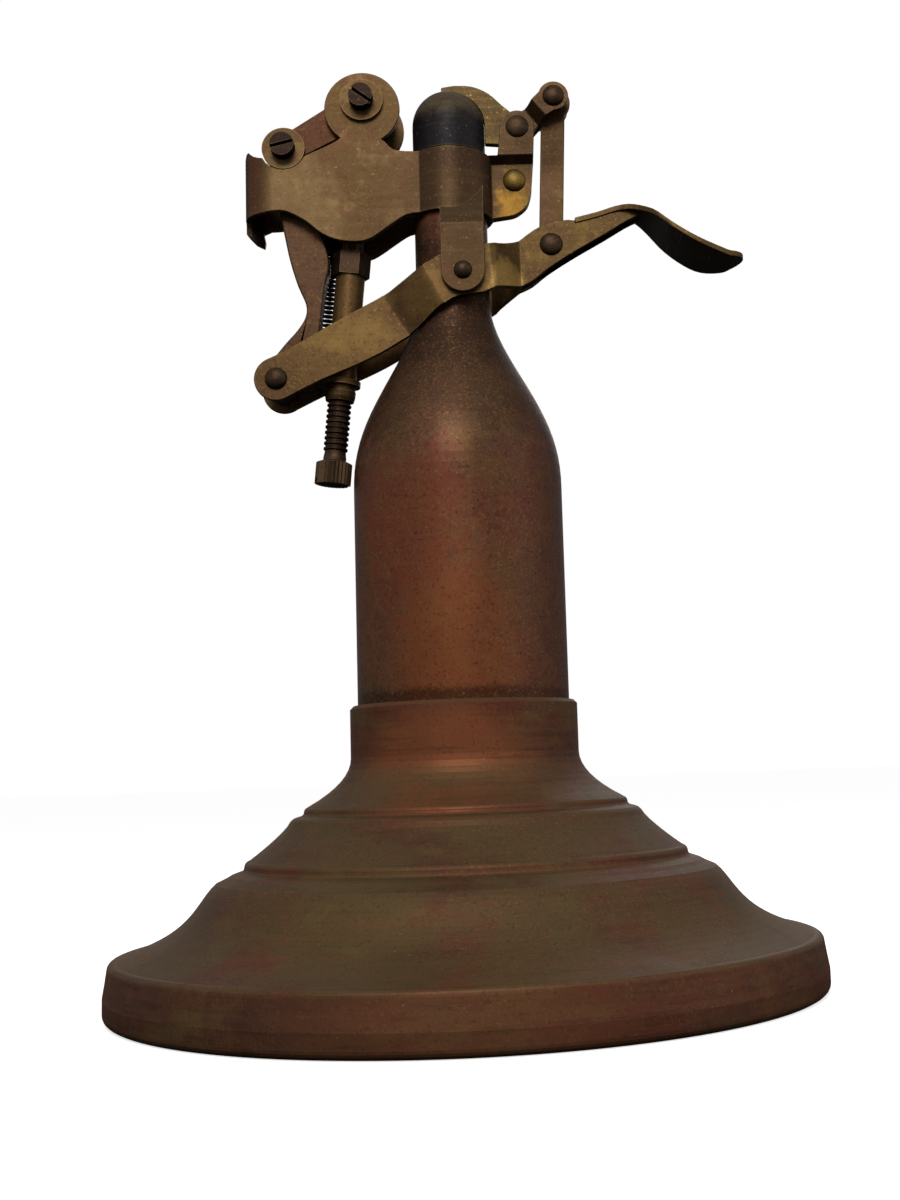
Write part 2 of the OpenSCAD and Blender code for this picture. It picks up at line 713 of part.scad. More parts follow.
flint_end = wheel_r + 7;
follower_end = flint_end + 3;
module flint() {
    color([0.25, 0.25, 0.26]) on_tube() translate([0, 0, -flint_end])
        cylinder(r = flint_r, h = flint_end - wheel_r - 0.1);
}

module flint_follower() {
    color(c_brass) on_tube() translate([0, 0, -follower_end])
        cylinder(r = flint_r, h = follower_end - flint_end);
}

screw_top_s = 40;
module flint_spring() {
    color(c_steel) on_tube() translate([0, 0, -screw_top_s]) difference() {
        cylinder(r = flint_r - 0.05, h = screw_top_s - follower_end);
        translate([0, 0, -1]) cylinder(r = flint_r - 0.4, h = screw_top_s);
    }
}

// Screw with ring-shaped threads and a knurled, slotted head
thread_n = floor((thread_end_s - screw_top_s) / screw_pitch);
thread_d = 0.25;
module flint_screw() {
    color(c_brass) on_tube() difference() {
        union() {
            rotate_extrude() polygon(concat([[0, -screw_top_s], [screw_r - thread_d, -screw_top_s]],
                [for (i = [0:thread_n - 1], k = [0:3])
                    [screw_r - (k == 0 || k == 3 ? thread_d : 0),
                        -screw_top_s - (i + [0.1, 0.32, 0.62, 0.84][k]) * screw_pitch]],
                [[screw_r - 0.1, -thread_end_s - 0.2], [screw_r - 0.1, -knob_s + 0.3],
                [knob_r - 0.3, -knob_s], [knob_r - 0.3, -knob_end_s], [0, -knob_end_s]]));
            translate([0, 0, -knob_end_s]) linear_extrude(knob_end_s - knob_s - 0.1)
                polygon(teeth(knob_ribs, knob_r - 0.22, knob_r, 0.5));
        }
        translate([0, 0, -knob_end_s]) rotate([0, 0, 25]) cube([10, 0.9, 1.6], center = true);
    }
}

// Fork arms in their own frame: u runs down the arm from the pivot, v across it
arm_top = [[-4, 4.1], [2.8, 4.1], [8, 3.7], [12.3, 3.45], [19, 3.45], [arm_len - 3, 3.15]];
arm_low = [[arm_len, -3.3], [26.5, -3.5], [20, -4.1], [15, -4.2], [10, -3.7], [6, -2.85], [2, -2.9], [-4, -3.4]];
bend_in = 11.5;
bend_out = 5.2;
module arm_frame() {
    translate([lever_p[0], 0, lever_p[1]]) rotate([0, -arm_slope, 0]) mirror([1, 0, 0]) children();
}

module fork_arm() {
    arm_frame() intersection() {
        translate([0, 0, -20]) linear_extrude(40) polygon([[-2.6, -arm_o], [bend_out, -arm_o],
            [bend_in, -fork_o], [arm_len + 9, -fork_o], [arm_len + 9, -fork_i],
            [bend_in, -fork_i], [bend_out, -arm_i], [-2.6, -arm_i]]);
        slab(-20, 0) union() {
            translate([arm_len, 0]) circle(3.35);
            polygon(concat(spline(arm_top, 3, false), [[arm_len, 3.35]], spline(arm_low, 3, false)));
        }
    }
}

// Top of the thumb pad, from the channel to the tip
pad_line = spline([[17.4, 10.1], [20.8, 10.9], [24, 11.8], [26.6, 11.65], [29.2, 10.2], [32, 7.6],
    [35, 5.45], [37.6, 4.15], [40.6, 3.45], [pad_x - lever_x - 1.6, 3.6], [pad_x - lever_x, 3.9]], 3, false);

// Right-hand walls: in past the neck, then a narrow channel up to the thumb pad
wall_top = concat(spline([[-3, 3.6], [4, 4.4], [7.5, 5.8], [11, 8.3], [13.8, 9.5], [16.4, 9.8]], 3, false),
    [for (p = pad_line) if (p[0] < 26.5) p - [0, lever_t / 2]]);
wall_low = [[27.6, 10.3], [25.4, 9.3], [22, 7.3], [17, 4.5], [13, 2], [10.4, 0], [8, -1], [5.4, -2], [3, -3.2], [-2, -3.6]];
joggle_x = 4.7;
module lever_wall() {
    intersection() {
        translate([lever_p[0], 0, lever_p[1] - 20]) linear_extrude(45) polygon([[-3, -arm_o], [joggle_x, -arm_o],
            [joggle_x + 3.9, -chan_o], [30, -chan_o], [30, -chan_i], [joggle_x + 3.3, -chan_i],
            [joggle_x - 0.4, -arm_i], [-3, -arm_i]]);
        slab(-20, 0) translate(lever_p)
            polygon(concat(wall_top, spline(wall_low, 3, false)));
    }
}

// Thumb pad: a curved sheet that widens from the channel to a round tip
pad_half = pad_w / 2;
module pad_plan() {
    polygon(concat([[17, -chan_o - 0.1], [22.5, -chan_o - 0.1]],
        spline([[24.2, -chan_o - 0.3], [27.2, -3.3], [30, -pad_half + 1], [33, -pad_half + 0.1],
            [37, -pad_half], [pad_x - lever_x - 3.4, -pad_half + 1.6], [pad_x - lever_x - 0.9, -pad_half + 4],
            [pad_x - lever_x, 0], [pad_x - lever_x - 0.9, pad_half - 4], [pad_x - lever_x - 3.4, pad_half - 1.6],
            [37, pad_half], [33, pad_half - 0.1], [30, pad_half - 1], [27.2, 3.3],
            [24.2, chan_o + 0.3]], 4, false),
        [[22.5, chan_o + 0.1], [17, chan_o + 0.1]]));
}

module thumb_pad() {
    translate([lever_p[0], 0, lever_p[1]]) intersection() {
        translate([0, 0, -20]) linear_extrude(50) pad_plan();
        slab(-20, 20) polygon(concat(pad_line, [for (p = reverse(pad_line)) p - [0, lever_t]]));
    }
}

module lever() {
    color(c_brass) difference() {
        union() {
            both() {
                fork_arm();
                lever_wall();
            }
            thumb_pad();
        }
        bar(lever_p, pin_r + pin_fit, -20, 20);
        bar(rod_foot, pin_r + seat_fit, -20, 20);
        bar(link_foot, pin_r + seat_fit, -20, 20);
    }
}

module lever_rivets() {
    color(c_brass) both() {
        bar(lever_p, pin_r, -leg_o, -arm_i + 0.1);
        dome(lever_p, -leg_o, 1.4, 0.8);
        bar(lever_p, 1.7, -arm_i + 0.1, -arm_i + 0.4);
    }
}

// Push rod: a pressed strip, wide above and drawn in at the waist
rod_left = [[-2, 0], [-1.4, -6.8], [-0.2, -13.5], [0.6, -17.5], [1.7, -21.3], [2.9, -24.3], [2.8, -26.3],
    [1.6, -28.3], [-0.2, -30.3], [-2.5, -33.1]];
rod_right = [[1.3, -36.4], [3.4, -32.1], [4.8, -28.9], [5.3, -25.3], [5.9, -21.3], [6.5, -18.5], [6.3, -16.3],
    [5.5, -13.5], [4, -8.9], [2.5, -3.5], [2, 0]];
rod_front = 2.6;
rod_back = 0.6;
module push_rod() {
    color(c_copper) difference() {
        union() {
            slab(-rod_front, rod_back) union() {
                translate(rod_top) polygon(concat(spline(rod_left, 3, false), [rod_foot - rod_top + [-2.4, 0]],
                    [rod_foot - rod_top + [0, -2.4]], spline(rod_right, 3, false)));
                translate(rod_foot) circle(2.6);
                translate(rod_top) circle(2.9);
            }
            bar(rod_foot, 2.2, -fork_i + side_gap, fork_i - side_gap);
        }
        bar(rod_foot, pin_r + pin_fit, -20, 20);
        bar(rod_top, axle_r + rod_play, -20, 20);
    }
}

module push_rod_rivet() {
    color(c_brass) rivet(rod_foot, pin_r, fork_o, 1.7, 1.1);
}

link_r = link_w / 2;
link_dir = (link_top - link_foot) / norm(link_top - link_foot);
link_side = [-link_dir[1], link_dir[0]];
module link() {
    color(c_brass) difference() {
        union() {
            bar(link_top, link_r + 0.8, -link_t / 2, link_t / 2);
            bar(link_foot, link_r + 0.15, -link_t / 2, link_t / 2);
            slab(-link_t / 2, link_t / 2) polygon([link_top + link_r * link_side, link_top - link_r * link_side,
                link_foot - link_r * link_side, link_foot + link_r * link_side]);
        }
        bar(link_foot, pin_r + pin_fit, -20, 20);
        bar(link_top, pin_r + link_play, -20, 20);
    }
}

module link_rivet_lower() {
    color(c_brass) rivet(link_foot, pin_r, chan_o, 1.8, 0.9);
}

module link_rivet_upper() {
    color(c_brass) rivet(link_top, pin_r, lug_o, 1.7, 0.9);
}

// Lug plate: flat at the pivot, stepped out past the clevis to the link pin
module lug() {
    translate([hinge[0], 0, hinge[1]]) rotate([0, -lug_slope, 0]) difference() {
        intersection() {
            translate([0, 0, -10]) linear_extrude(20) polygon([[-4, -link_t / 2 - lug_t], [3, -link_t / 2 - lug_t],
                [4.4, -lug_o], [12, -lug_o], [12, -lug_i], [4.8, -lug_i], [3.4, -link_t / 2], [-4, -link_t / 2]]);
            union() {
                bar([0, 0], hub_r - 0.1, -9, 0);
                bar([lug_len, 0], 2.35, -9, 0);
                slab(-9, 0) polygon([[0, 2.2], [3.6, 1.7], [lug_len, 2.1],
                    [lug_len, -2.1], [3.6, -1.6], [0, -2.2]]);
            }
        }
        bar([0, 0], pin_r + pin_fit, -20, 20);
        bar([lug_len, 0], pin_r + seat_fit, -20, 20);
    }
}

module lug_front() {
    color(c_copper) lug();
}

module lug_rear() {
    color(c_copper) mirror([0, 1, 0]) lug();
}

// Flat arm that hugs the side and the dome of the cap
module cap_arm() {
    color(c_worn) difference() {
        union() {
            bar(hinge, hub_r - 0.1, -link_t / 2, link_t / 2);
            slab(-link_t / 2, link_t / 2) difference() {
                translate([0, dome_z]) polygon(concat([[-1, cap_r - 1], [-1, cap_r + 0.9]],
                    spline([[1, cap_r + 1.2], [3.8, cap_r + 1], [6.4, cap_r - 0.2], [8.6, cap_r - 2.3],
                        [hinge_x, hinge[1] - dome_z + hub_r - 0.2]], 3, false),
                    [[hinge_x, hinge[1] - dome_z - hub_r + 0.15], [7.4, -3.1], [cap_r - 0.6, -2.9]]));
                translate([0, dome_z]) circle(cap_r + seat_fit);
                translate([-cap_r, cap_z - 1]) square([2 * cap_r + seat_fit, dome_z - cap_z + 1]);
            }
        }
        bar(hinge, pin_r + pin_fit, -20, 20);
    }
}

module cap_rivet() {
    color(c_brass) rivet(hinge, pin_r, clevis_o, 1.8, 0.7);
}

module snuffer_cap() {
    color(c_cap) translate([0, 0, dome_z]) rotate_extrude() polygon(concat([[cap_r, -cap_skirt]],
        arc([0, 0], cap_r, 0, 84, 14),
        [[0, cap_r], [0, cap_r - cap_wall]],
        reverse(arc([0, 0], cap_r - cap_wall, 0, 84, 14)),
        [[cap_r - cap_wall, -cap_skirt]]));
}

module cap_pad() {
    color([0.5, 0.42, 0.3]) translate([0, 0, dome_z + 0.4]) cylinder(r = cap_r - cap_wall - 0.3, h = 1.2);
}

base_shell();
base_weight();
base_plate();
base_felt();
tank_shell();
tank_bottom();
filler_plug();
cotton_packing();
wick();
wick_tube();
frame_strap();
strap_rivet();
flint_guide();
axle_screw();
axle_washer();
axle_nut();
flint_wheel();
ratchet_wheel();
crank_arm_front();
crank_arm_rear();
crank_screw();
crank_washer();
crank_nut();
pawl();
pawl_pin();
pawl_spring();
spring_post();
return_spring();
spring_anchor();
flint_tube();
flint_tube_nut();
flint();
flint_follower();
flint_spring();
flint_screw();
lever();
lever_rivets();
push_rod();
push_rod_rivet();
link();
link_rivet_lower();
link_rivet_upper();
lug_front();
lug_rear();
cap_arm();
cap_rivet();
snuffer_cap();
cap_pad();
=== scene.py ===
import math
import random

import bpy
from mathutils import Matrix, Vector
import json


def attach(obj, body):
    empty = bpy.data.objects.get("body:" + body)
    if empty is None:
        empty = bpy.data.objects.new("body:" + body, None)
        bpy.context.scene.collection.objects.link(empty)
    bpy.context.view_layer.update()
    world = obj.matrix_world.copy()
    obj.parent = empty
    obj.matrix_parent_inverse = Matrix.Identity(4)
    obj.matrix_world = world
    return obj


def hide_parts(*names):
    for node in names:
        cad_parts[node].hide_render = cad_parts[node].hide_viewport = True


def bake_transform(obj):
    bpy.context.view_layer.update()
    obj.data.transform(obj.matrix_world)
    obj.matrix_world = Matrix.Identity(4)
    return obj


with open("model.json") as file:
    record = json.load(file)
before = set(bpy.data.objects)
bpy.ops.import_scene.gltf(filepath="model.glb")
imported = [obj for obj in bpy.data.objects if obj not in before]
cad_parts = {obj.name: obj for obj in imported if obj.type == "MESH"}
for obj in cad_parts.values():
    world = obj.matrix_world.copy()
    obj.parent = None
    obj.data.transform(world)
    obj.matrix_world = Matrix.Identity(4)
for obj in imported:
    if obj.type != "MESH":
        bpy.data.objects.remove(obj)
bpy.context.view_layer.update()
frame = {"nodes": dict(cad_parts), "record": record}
bpy.ops.object.select_all(action="DESELECT")
mm = 0.001
print("frame loaded:", len(frame["nodes"]), "nodes")


def hexColour(code):
    parts = [int(code[start:start + 2], 16) / 255 for start in (1, 3, 5)]
    return tuple(part / 12.92 if part <= 0.04045 else ((part + 0.055) / 1.055) ** 2.4
                 for part in parts) + (1.0,)


# in inputs, a node stands for its first output in use
def addNode(tree, kind, settings=None, inputs=None):
    made = tree.nodes.new("ShaderNode" + kind)
    for name, value in (settings or {}).items():
        if name == "stops":   # a colour ramp's places and colours
            ramp = made.color_ramp
            while len(ramp.elements) < len(value):
                ramp.elements.new(0.5)
            for element, (place, colour) in zip(ramp.elements, value):
                element.position = place
                element.color = hexColour(colour)
        else:
            setattr(made, name, value)
    for name, value in (inputs or {}).items():
        if isinstance(value, bpy.types.Node):
            value = next(socket for socket in value.outputs if socket.enabled)
        if isinstance(value, bpy.types.NodeSocket):
            tree.links.new(value, made.inputs[name])
        else:
            made.inputs[name].default_value = value
    return made


# settings that many nodes share
times, plus, larger = {"operation": "MULTIPLY"}, {"operation": "ADD"}, {"operation": "MAXIMUM"}
minus, distance, along = {"operation": "SUBTRACT"}, {"operation": "LENGTH"}, {"operation": "DOT_PRODUCT"}
softStep, inColour = {"interpolation_type": "SMOOTHSTEP"}, {"data_type": "RGBA"}


def newMaterial(name):
    made = bpy.data.materials.new(name)
    made.use_nodes = True
    made.node_tree.nodes.clear()
    return made, made.node_tree


# camera, matched to the ellipses of the base, the collar and the neck
view = {
    "distance": 233.74, "height": 32.24, "side": 2.07,   # mm, mm, degrees round the tank
    "pan": 1.774, "pitch": 7.531, "roll": -2.062,         # degrees
    "lens": 46.5, "sensor": 36, "shiftX": -0.0946, "shiftY": -0.0295,
    "nearest": 0.01, "farthest": 20,                      # metres
}


def makeCamera():
    pan, pitch, roll, side = (math.radians(view[name]) for name in ("pan", "pitch", "roll", "side"))
    ahead = Vector((math.sin(pan), math.cos(pan), 0))
    right = Vector((math.cos(pan), -math.sin(pan), 0))
    up = Vector((0, 0, 1))
    aim = ahead * math.cos(pitch) + up * math.sin(pitch)
    top = up * math.cos(pitch) - ahead * math.sin(pitch)
    rightRolled = right * math.cos(roll) + top * math.sin(roll)
    topRolled = top * math.cos(roll) - right * math.sin(roll)
    bpy.ops.object.camera_add()
    camera = bpy.context.object
    camera.name = "camera"
    turned = Matrix((rightRolled, topRolled, -aim)).transposed()
    place = Vector((math.sin(side), -math.cos(side), 0)) * view["distance"] * mm
    place.z = view["height"] * mm
    camera.matrix_world = Matrix.Translation(place) @ turned.to_4x4()
    camera.data.lens = view["lens"]
    camera.data.sensor_width = view["sensor"]
    camera.data.shift_x = view["shiftX"]
    camera.data.shift_y = view["shiftY"]
    camera.data.clip_start = view["nearest"]
    camera.data.clip_end = view["farthest"]
    bpy.context.scene.camera = camera


makeCamera()
bpy.context.scene.view_settings.view_transform = "Standard"
print("camera placed")

# light and floor
lamps = {   # power in watts, size and place in mm; each lamp looks at the lighter's middle
    "key": {"power": 1.2, "size": 190, "place": (-25, -400, 370)},
    "fill": {"power": 0.2, "size": 320, "place": (400, -160, 150)},
    "back": {"power": 0.7, "size": 300, "place": (60, 430, 330)},
}
lampAim = (0, 0, 70)
room = {"light": 0.28, "glint": 0.42}
paper = {"radius": 6000, "below": 0.05, "sides": 96, "bounce": "#5C5A56", "shown": "#FFFFFF", "glow": 0.7}


def makeLamps():
    for name, look in lamps.items():
        bpy.ops.object.light_add(type="AREA", location=Vector(look["place"]) * mm)
        lamp = bpy.context.object
        lamp.name = name
        lamp.data.energy = look["power"]
        lamp.data.size = look["size"] * mm
        aim = Vector(lampAim) * mm - lamp.location
        lamp.rotation_euler = aim.to_track_quat("-Z", "Y").to_euler()


# the camera sees white, metal sees a paler grey than the light that falls on the lighter
def makeRoom():
    world = bpy.data.worlds.new("paleRoom")
    bpy.context.scene.world = world
    world.use_nodes = True
    tree = world.node_tree
    tree.nodes.clear()
    path = addNode(tree, "LightPath").outputs
    seen = addNode(tree, "Math", larger, {0: path["Is Camera Ray"], 1: path["Is Transmission Ray"]})
    glint = addNode(tree, "Math", times, {0: path["Is Glossy Ray"], 1: room["glint"]})
    share = addNode(tree, "Math", larger, {0: seen, 1: glint})
    strength = addNode(tree, "MapRange", None, {"Value": share, "To Min": room["light"], "To Max": 1.0})
    back = addNode(tree, "Background", None, {"Color": (1, 1, 1, 1), "Strength": strength})
    addNode(tree, "OutputWorld", None, {"Surface": back})


def makeFloor():
    bpy.ops.mesh.primitive_circle_add(vertices=paper["sides"], radius=paper["radius"] * mm,
                                      fill_type="NGON", location=(0, 0, -paper["below"] * mm))
    floor = bpy.context.object
    floor.name = "floor"
    paint, tree = newMaterial("palePaper")   # matt white paper, greyer to the lighter than to the eye
    seen = addNode(tree, "LightPath").outputs["Is Camera Ray"]
    tones = {6: hexColour(paper["bounce"]), 7: hexColour(paper["shown"])}
    tone = addNode(tree, "Mix", inColour, {0: seen, **tones})
    matt = addNode(tree, "BsdfDiffuse", None, {"Color": tone})
    glow = addNode(tree, "Math", times, {0: seen, 1: paper["glow"]})
    shine = addNode(tree, "Emission", None, {"Color": (1, 1, 1, 1), "Strength": glow})
    both = addNode(tree, "AddShader", None, {0: matt, 1: shine})
    addNode(tree, "OutputMaterial", None, {"Surface": both})
    floor.data.materials.append(paint)


makeLamps()
makeRoom()
makeFloor()
print("studio lit")


# metals: one recipe each, with every pattern's size in millimetres
# a patch is a cloudy pattern of another tone, drawn out along x, y and z
def patch(size, start, colour, amount, stretch=(1, 1, 1)):
    return {"size": size, "start": start, "colour": colour, "amount": amount, "stretch": stretch}


# a spot is a place where the skin differs, either a real stain, a painted highlight or a painted shadow: its
# middle, its reach and how it is squeezed in x, y and z
def stainOrLight(at, reach, squeeze, ragged, colour, amount, core=0.45):
    return {"at": at, "reach": reach, "squeeze": squeeze, "ragged": ragged, "colour": colour,
            "amount": amount, "core": core}


metals = {
    # oxidised copper tank: matt red-brown skin with fine orange speckle, dusty brown shoulder
    "tankCopper": {
        "tones": ("#4C3229", "#634333", "#744F38", "#805C3E"),
        "cloudSize": 19, "mottleSize": 1.8,
        "speckSize": 0.36, "speckColour": "#8E6038", "speckFrom": 0.52, "speckShare": 0.6,
        "pitSize": 0.45, "pitColour": "#36221C", "pitShare": 0.5,
        "haze": "#4E402E", "hazeShare": 0.45, "moteShare": 0.7, "shadeColour": "#2A1C18",
        "wear": "#8A5C42", "wearWidth": 0.4, "streakShare": 0.15,
        "metallic": 0.6, "rough": (0.4, 0.52), "grain": 0.3, "specular": 0.25, "tint": "#6A5448",
        "patches": [
            patch(11, 0.5, "#6C362A", 0.5, (1, 1, 0.5)),
            patch(8, 0.5, "#5E4C30", 0.55, (1, 1, 0.7)),
            patch(3.5, 0.56, "#4A3230", 0.5, (1, 1, 1.3)),
        ],
        "stainsAndLight": [
            stainOrLight((0, 0, 97), 22, (0.1, 0.1, 1), 7, "#48362A", 0.7),
            # painted shadow: a dark ring round the neck stands for the lever's shadow
            stainOrLight((0, 0, 103), 15, (0.1, 0.1, 1), 5, "#362820", 0.8),
            # orange clouding on the lower front, partly real mottling and partly a painted highlight where
            # the tank faces the eye
            stainOrLight((0, -17, 49), 15, (1.25, 1, 0.7), 9, "#8E502E", 0.6),
            # painted shadow: a thin dark ring where the tank meets the collar's rim
            stainOrLight((0, 0, 42.4), 2.6, (0.02, 0.02, 1), 0.6, "#2C1C16", 0.7),
            stainOrLight((-8, -16, 67), 13, (1, 1, 1), 9, "#7C3F2E", 0.55),
            stainOrLight((19, -8, 62), 20, (1, 1, 0.5), 6, "#50332E", 0.45),
        ],
    },
    # the same copper spun into the foot, with a film of olive verdigris and dust on every slope
    "footCopper": {
        "tones": ("#472E25", "#5A3C2E", "#664531", "#6E4D38"),
        "cloudSize": 24, "mottleSize": 2.6,
        "speckSize": 0.36, "speckColour": "#8C5E40", "speckFrom": 0.54, "speckShare": 0.5,
        "pitSize": 0.5, "pitColour": "#3C2A22", "pitShare": 0.35,
        "haze": "#5C4E34", "hazeShare": 0.75, "moteShare": 0.5, "shadeColour": "#3E3524",
        "wear": "#7A4A38", "wearWidth": 0.7, "streakShare": 0.8,
        "metallic": 0.48, "rough": (0.46, 0.62), "grain": 0.35, "specular": 0.2, "tint": "#645448",
        "patches": [
            patch(13, 0.5, "#66362B", 0.6, (0.7, 0.7, 1.6)),
            patch(10, 0.52, "#665636", 0.55, (0.7, 0.7, 1.4)),
            patch(4, 0.55, "#4E3830", 0.45, (0.7, 0.7, 1.4)),
        ],
        "stainsAndLight": [
            # painted highlight: a brighter orange patch on the collar's front
            stainOrLight((-3, -19, 34), 17, (1, 1, 1.6), 5, "#925536", 0.65),
            stainOrLight((2, -52, 2), 26, (1, 1, 2), 8, "#744A32", 0.5),
            stainOrLight((-14, -34, 13), 14, (1, 1, 1), 8, "#6E6038", 0.4),
            stainOrLight((24, -24, 15), 17, (1, 1, 1.5), 8, "#5E3A30", 0.45),
        ],
    },
    # brass strap of the frame: olive-brown skin, redder at the horns, browner round the neck; painted shade
    # darkens the plate towards the neck and the inner faces between the plates
    "frameBrass": {
        "tones": ("#443220", "#554029", "#614A2E", "#6D5534"),
        "cloudSize": 9, "mottleSize": 1.5,
        "speckSize": 0.3, "speckColour": "#8C734C", "speckFrom": 0.56, "speckShare": 0.5,
        "pitSize": 0.4, "pitColour": "#32261C", "pitShare": 0.35,
        "haze": "#574C38", "hazeShare": 0.3, "moteShare": 0.5, "shadeColour": "#1C1510", "shadeUnderShare": 0.4,
        "wear": "#8C7350", "wearWidth": 0.3, "streakShare": 0.2,
        "metallic": 0.55, "rough": (0.4, 0.56), "grain": 0.3, "specular": 0.25, "tint": "#6E5E48",
        "patches": [
            patch(6, 0.5, "#5E3E2E", 0.6),
            patch(4, 0.54, "#7A643E", 0.45),
        ],
        "stainsAndLight": [
            # painted shade: the plate darkens towards the neck
            stainOrLight((-7, -5, 121), 9, (1, 0.5, 0.6), 2, "#523E29", 0.55),
            stainOrLight((-24, -5, 119), 9, (1, 0.5, 0.8), 2, "#7E6646", 0.5),
            stainOrLight((2.5, 0, 119), 10.5, (1, 0.2, 0.6), 2, "#4A3728", 0.75),
            stainOrLight((2, -7, 127), 7, (0.8, 1, 1.6), 1.5, "#3F2D25", 0.55),
            stainOrLight((-31.5, 0, 119), 4.5, (1, 0.1, 0.3), 1.5, "#5E3A2E", 0.75),
            stainOrLight((10.2, -2.5, 118.6), 4.4, (1.2, 1, 0.6), 2.2, "#966E2C", 0.85),
            stainOrLight((9.6, -2.5, 123.5), 2.6, (1.6, 1, 0.6), 1.5, "#8E6B2E", 0.8),
            stainOrLight((14.5, 0, 121), 2.6, (1, 0.1, 0.3), 1, "#5A4030", 0.7),
            stainOrLight((14, 0, 131), 7, (0.8, 0.3, 1), 1.5, "#423122", 0.8, core=0.7),
            # painted shadow: the strap's inner faces between the plates are darkened
            stainOrLight((-20, 0, 122.5), 4.4, (0.3, 1, 0.02), 0, "#2A1E16", 0.9, core=0.92),
        ],
    },
    # brass of the lever and the tube: brown with fine yellow speckle
    "agedBrass": {
        "tones": ("#423321", "#564229", "#634D30", "#705836"),
        "cloudSize": 9, "mottleSize": 1.8,
        "speckSize": 0.34, "speckColour": "#8C6F3E", "speckFrom": 0.53, "speckShare": 0.5,
        "pitSize": 0.6, "pitColour": "#2E2317", "pitShare": 0.4,
        "haze": "#544A30", "hazeShare": 0.3, "moteShare": 0.4, "shadeColour": "#1C140D",
        "wear": "#987845", "wearWidth": 0.25, "streakShare": 0.25,
        "metallic": 0.58, "rough": (0.38, 0.55), "grain": 0.3, "specular": 0.25, "tint": "#6A5A44",
        "patches": [
            patch(5, 0.52, "#553E2C", 0.55),
            patch(3.5, 0.55, "#7C6436", 0.45),
        ],
        "stainsAndLight": [
            stainOrLight((-20, -9, 96), 24, (1, 0.5, 1), 5, "#6E5235", 0.5),
            # painted light: a pale patch lightens the joggle right of the leg, which faces away from the key
            # lamp
            stainOrLight((8.6, -5, 106.5), 4.2, (1, 0.4, 1), 2, "#C09A5A", 0.75),
            stainOrLight((-17.8, 0, 89.8), 3.6, (1, 1, 0.8), 1, "#3E2F20", 0.75, core=0.7),
            stainOrLight((-14.6, 0, 113), 5, (1, 1, 1), 1.5, "#3A2C1E", 0.6),
            stainOrLight((-27, -5, 90), 8, (1, 0.5, 1), 4, "#553F2B", 0.7),
            stainOrLight((-16, -9, 99), 8, (0.7, 0.5, 1.8), 5, "#84683A", 0.45),
            stainOrLight((-6, -8, 102), 5, (0.8, 0.4, 1), 3, "#4C3626", 0.7),
            stainOrLight((-4, -9, 104), 5, (1, 0.5, 1), 2, "#7E6038", 0.5),
        ],
    },
    # the same sheet where it stayed redder: push rod and crank arms
    "ruddyBrass": {
        "tones": ("#3C2A20", "#4E382A", "#5C4432", "#684E39"),
        "cloudSize": 7, "mottleSize": 1.6,
        "speckSize": 0.4, "speckColour": "#7C5C3C", "speckFrom": 0.54, "speckShare": 0.5,
        "pitSize": 0.6, "pitColour": "#2C1D14", "pitShare": 0.4,
        "haze": "#54472F", "hazeShare": 0.25, "moteShare": 0.4, "shadeColour": "#1C130D",
        "wear": "#8E6A44", "wearWidth": 0.22, "streakShare": 0.2,
        "metallic": 0.58, "rough": (0.38, 0.55), "grain": 0.3, "specular": 0.25, "tint": "#665040",
        "stainsAndLight": [
            stainOrLight((-20, 0, 131.5), 7.5, (1, 0.1, 1), 1.5, "#4A2C20", 0.7, core=0.8),
        ],
    },
    # brass rivets and the tube's nut, with a dark skin
    "darkBrass": {
        "tones": ("#2E231C", "#3D2F24", "#4A392A", "#554330"),
        "cloudSize": 4, "mottleSize": 1.2,
        "speckSize": 0.35, "speckColour": "#745A38", "speckFrom": 0.6, "speckShare": 0.5,
        "pitSize": 0.5, "pitColour": "#211812", "pitShare": 0.4,
        "haze": "#463D2B", "hazeShare": 0.2, "moteShare": 0.3, "shadeColour": "#15100C",
        "wear": "#7A6140", "wearWidth": 0.18, "streakShare": 0.2,
        "metallic": 0.6, "rough": (0.36, 0.52), "grain": 0.25, "specular": 0.25, "tint": "#5E4E3C",
    },
    # blackened screws and the return spring, with a browner knurled head
    "blackScrew": {
        "tones": ("#1E1614", "#291E1A", "#35271F", "#46352A"),
        "cloudSize": 3, "mottleSize": 1.0,
        "speckSize": 0.3, "speckColour": "#6A5240", "speckFrom": 0.58, "speckShare": 0.5,
        "pitSize": 0.4, "pitColour": "#18110F", "pitShare": 0.4,
        "haze": "#3C3328", "hazeShare": 0.2, "moteShare": 0.3, "shadeColour": "#0E0B0A",
        "wear": "#6E5844", "wearWidth": 0.2, "streakShare": 0.2,
        "metallic": 0.6, "rough": (0.42, 0.58), "grain": 0.25, "specular": 0.2, "tint": "#5E5048",
        "stainsAndLight": [
            stainOrLight((-18.9, 0, 77.8), 4.2, (1, 1, 0.9), 0.6, "#5E4A36", 0.8, core=0.7),
        ],
    },
    # brass rubbed bright by hand
    "rubbedBrass": {
        "tones": ("#52411F", "#675229", "#775F30", "#876D37"),
        "cloudSize": 5, "mottleSize": 1.4,
        "speckSize": 0.35, "speckColour": "#A6863F", "speckFrom": 0.58, "speckShare": 0.5,
        "pitSize": 0.6, "pitColour": "#3C2D17", "pitShare": 0.4,
        "haze": "#5C4F2B", "hazeShare": 0.25, "moteShare": 0.3, "shadeColour": "#221A0D",
        "wear": "#B08E48", "wearWidth": 0.3, "streakShare": 0.3,
        "metallic": 0.62, "rough": (0.34, 0.5), "grain": 0.25, "specular": 0.3, "tint": "#7C6A44",
        "stainsAndLight": [
            stainOrLight((3, 0, 137), 9, (1, 0.1, 0.8), 2, "#3E3120", 0.95, core=0.7),
        ],
    },
    # iron cap, blued and smoked by the flame low down, dusty brown on its dome
    "smokedSteel": {
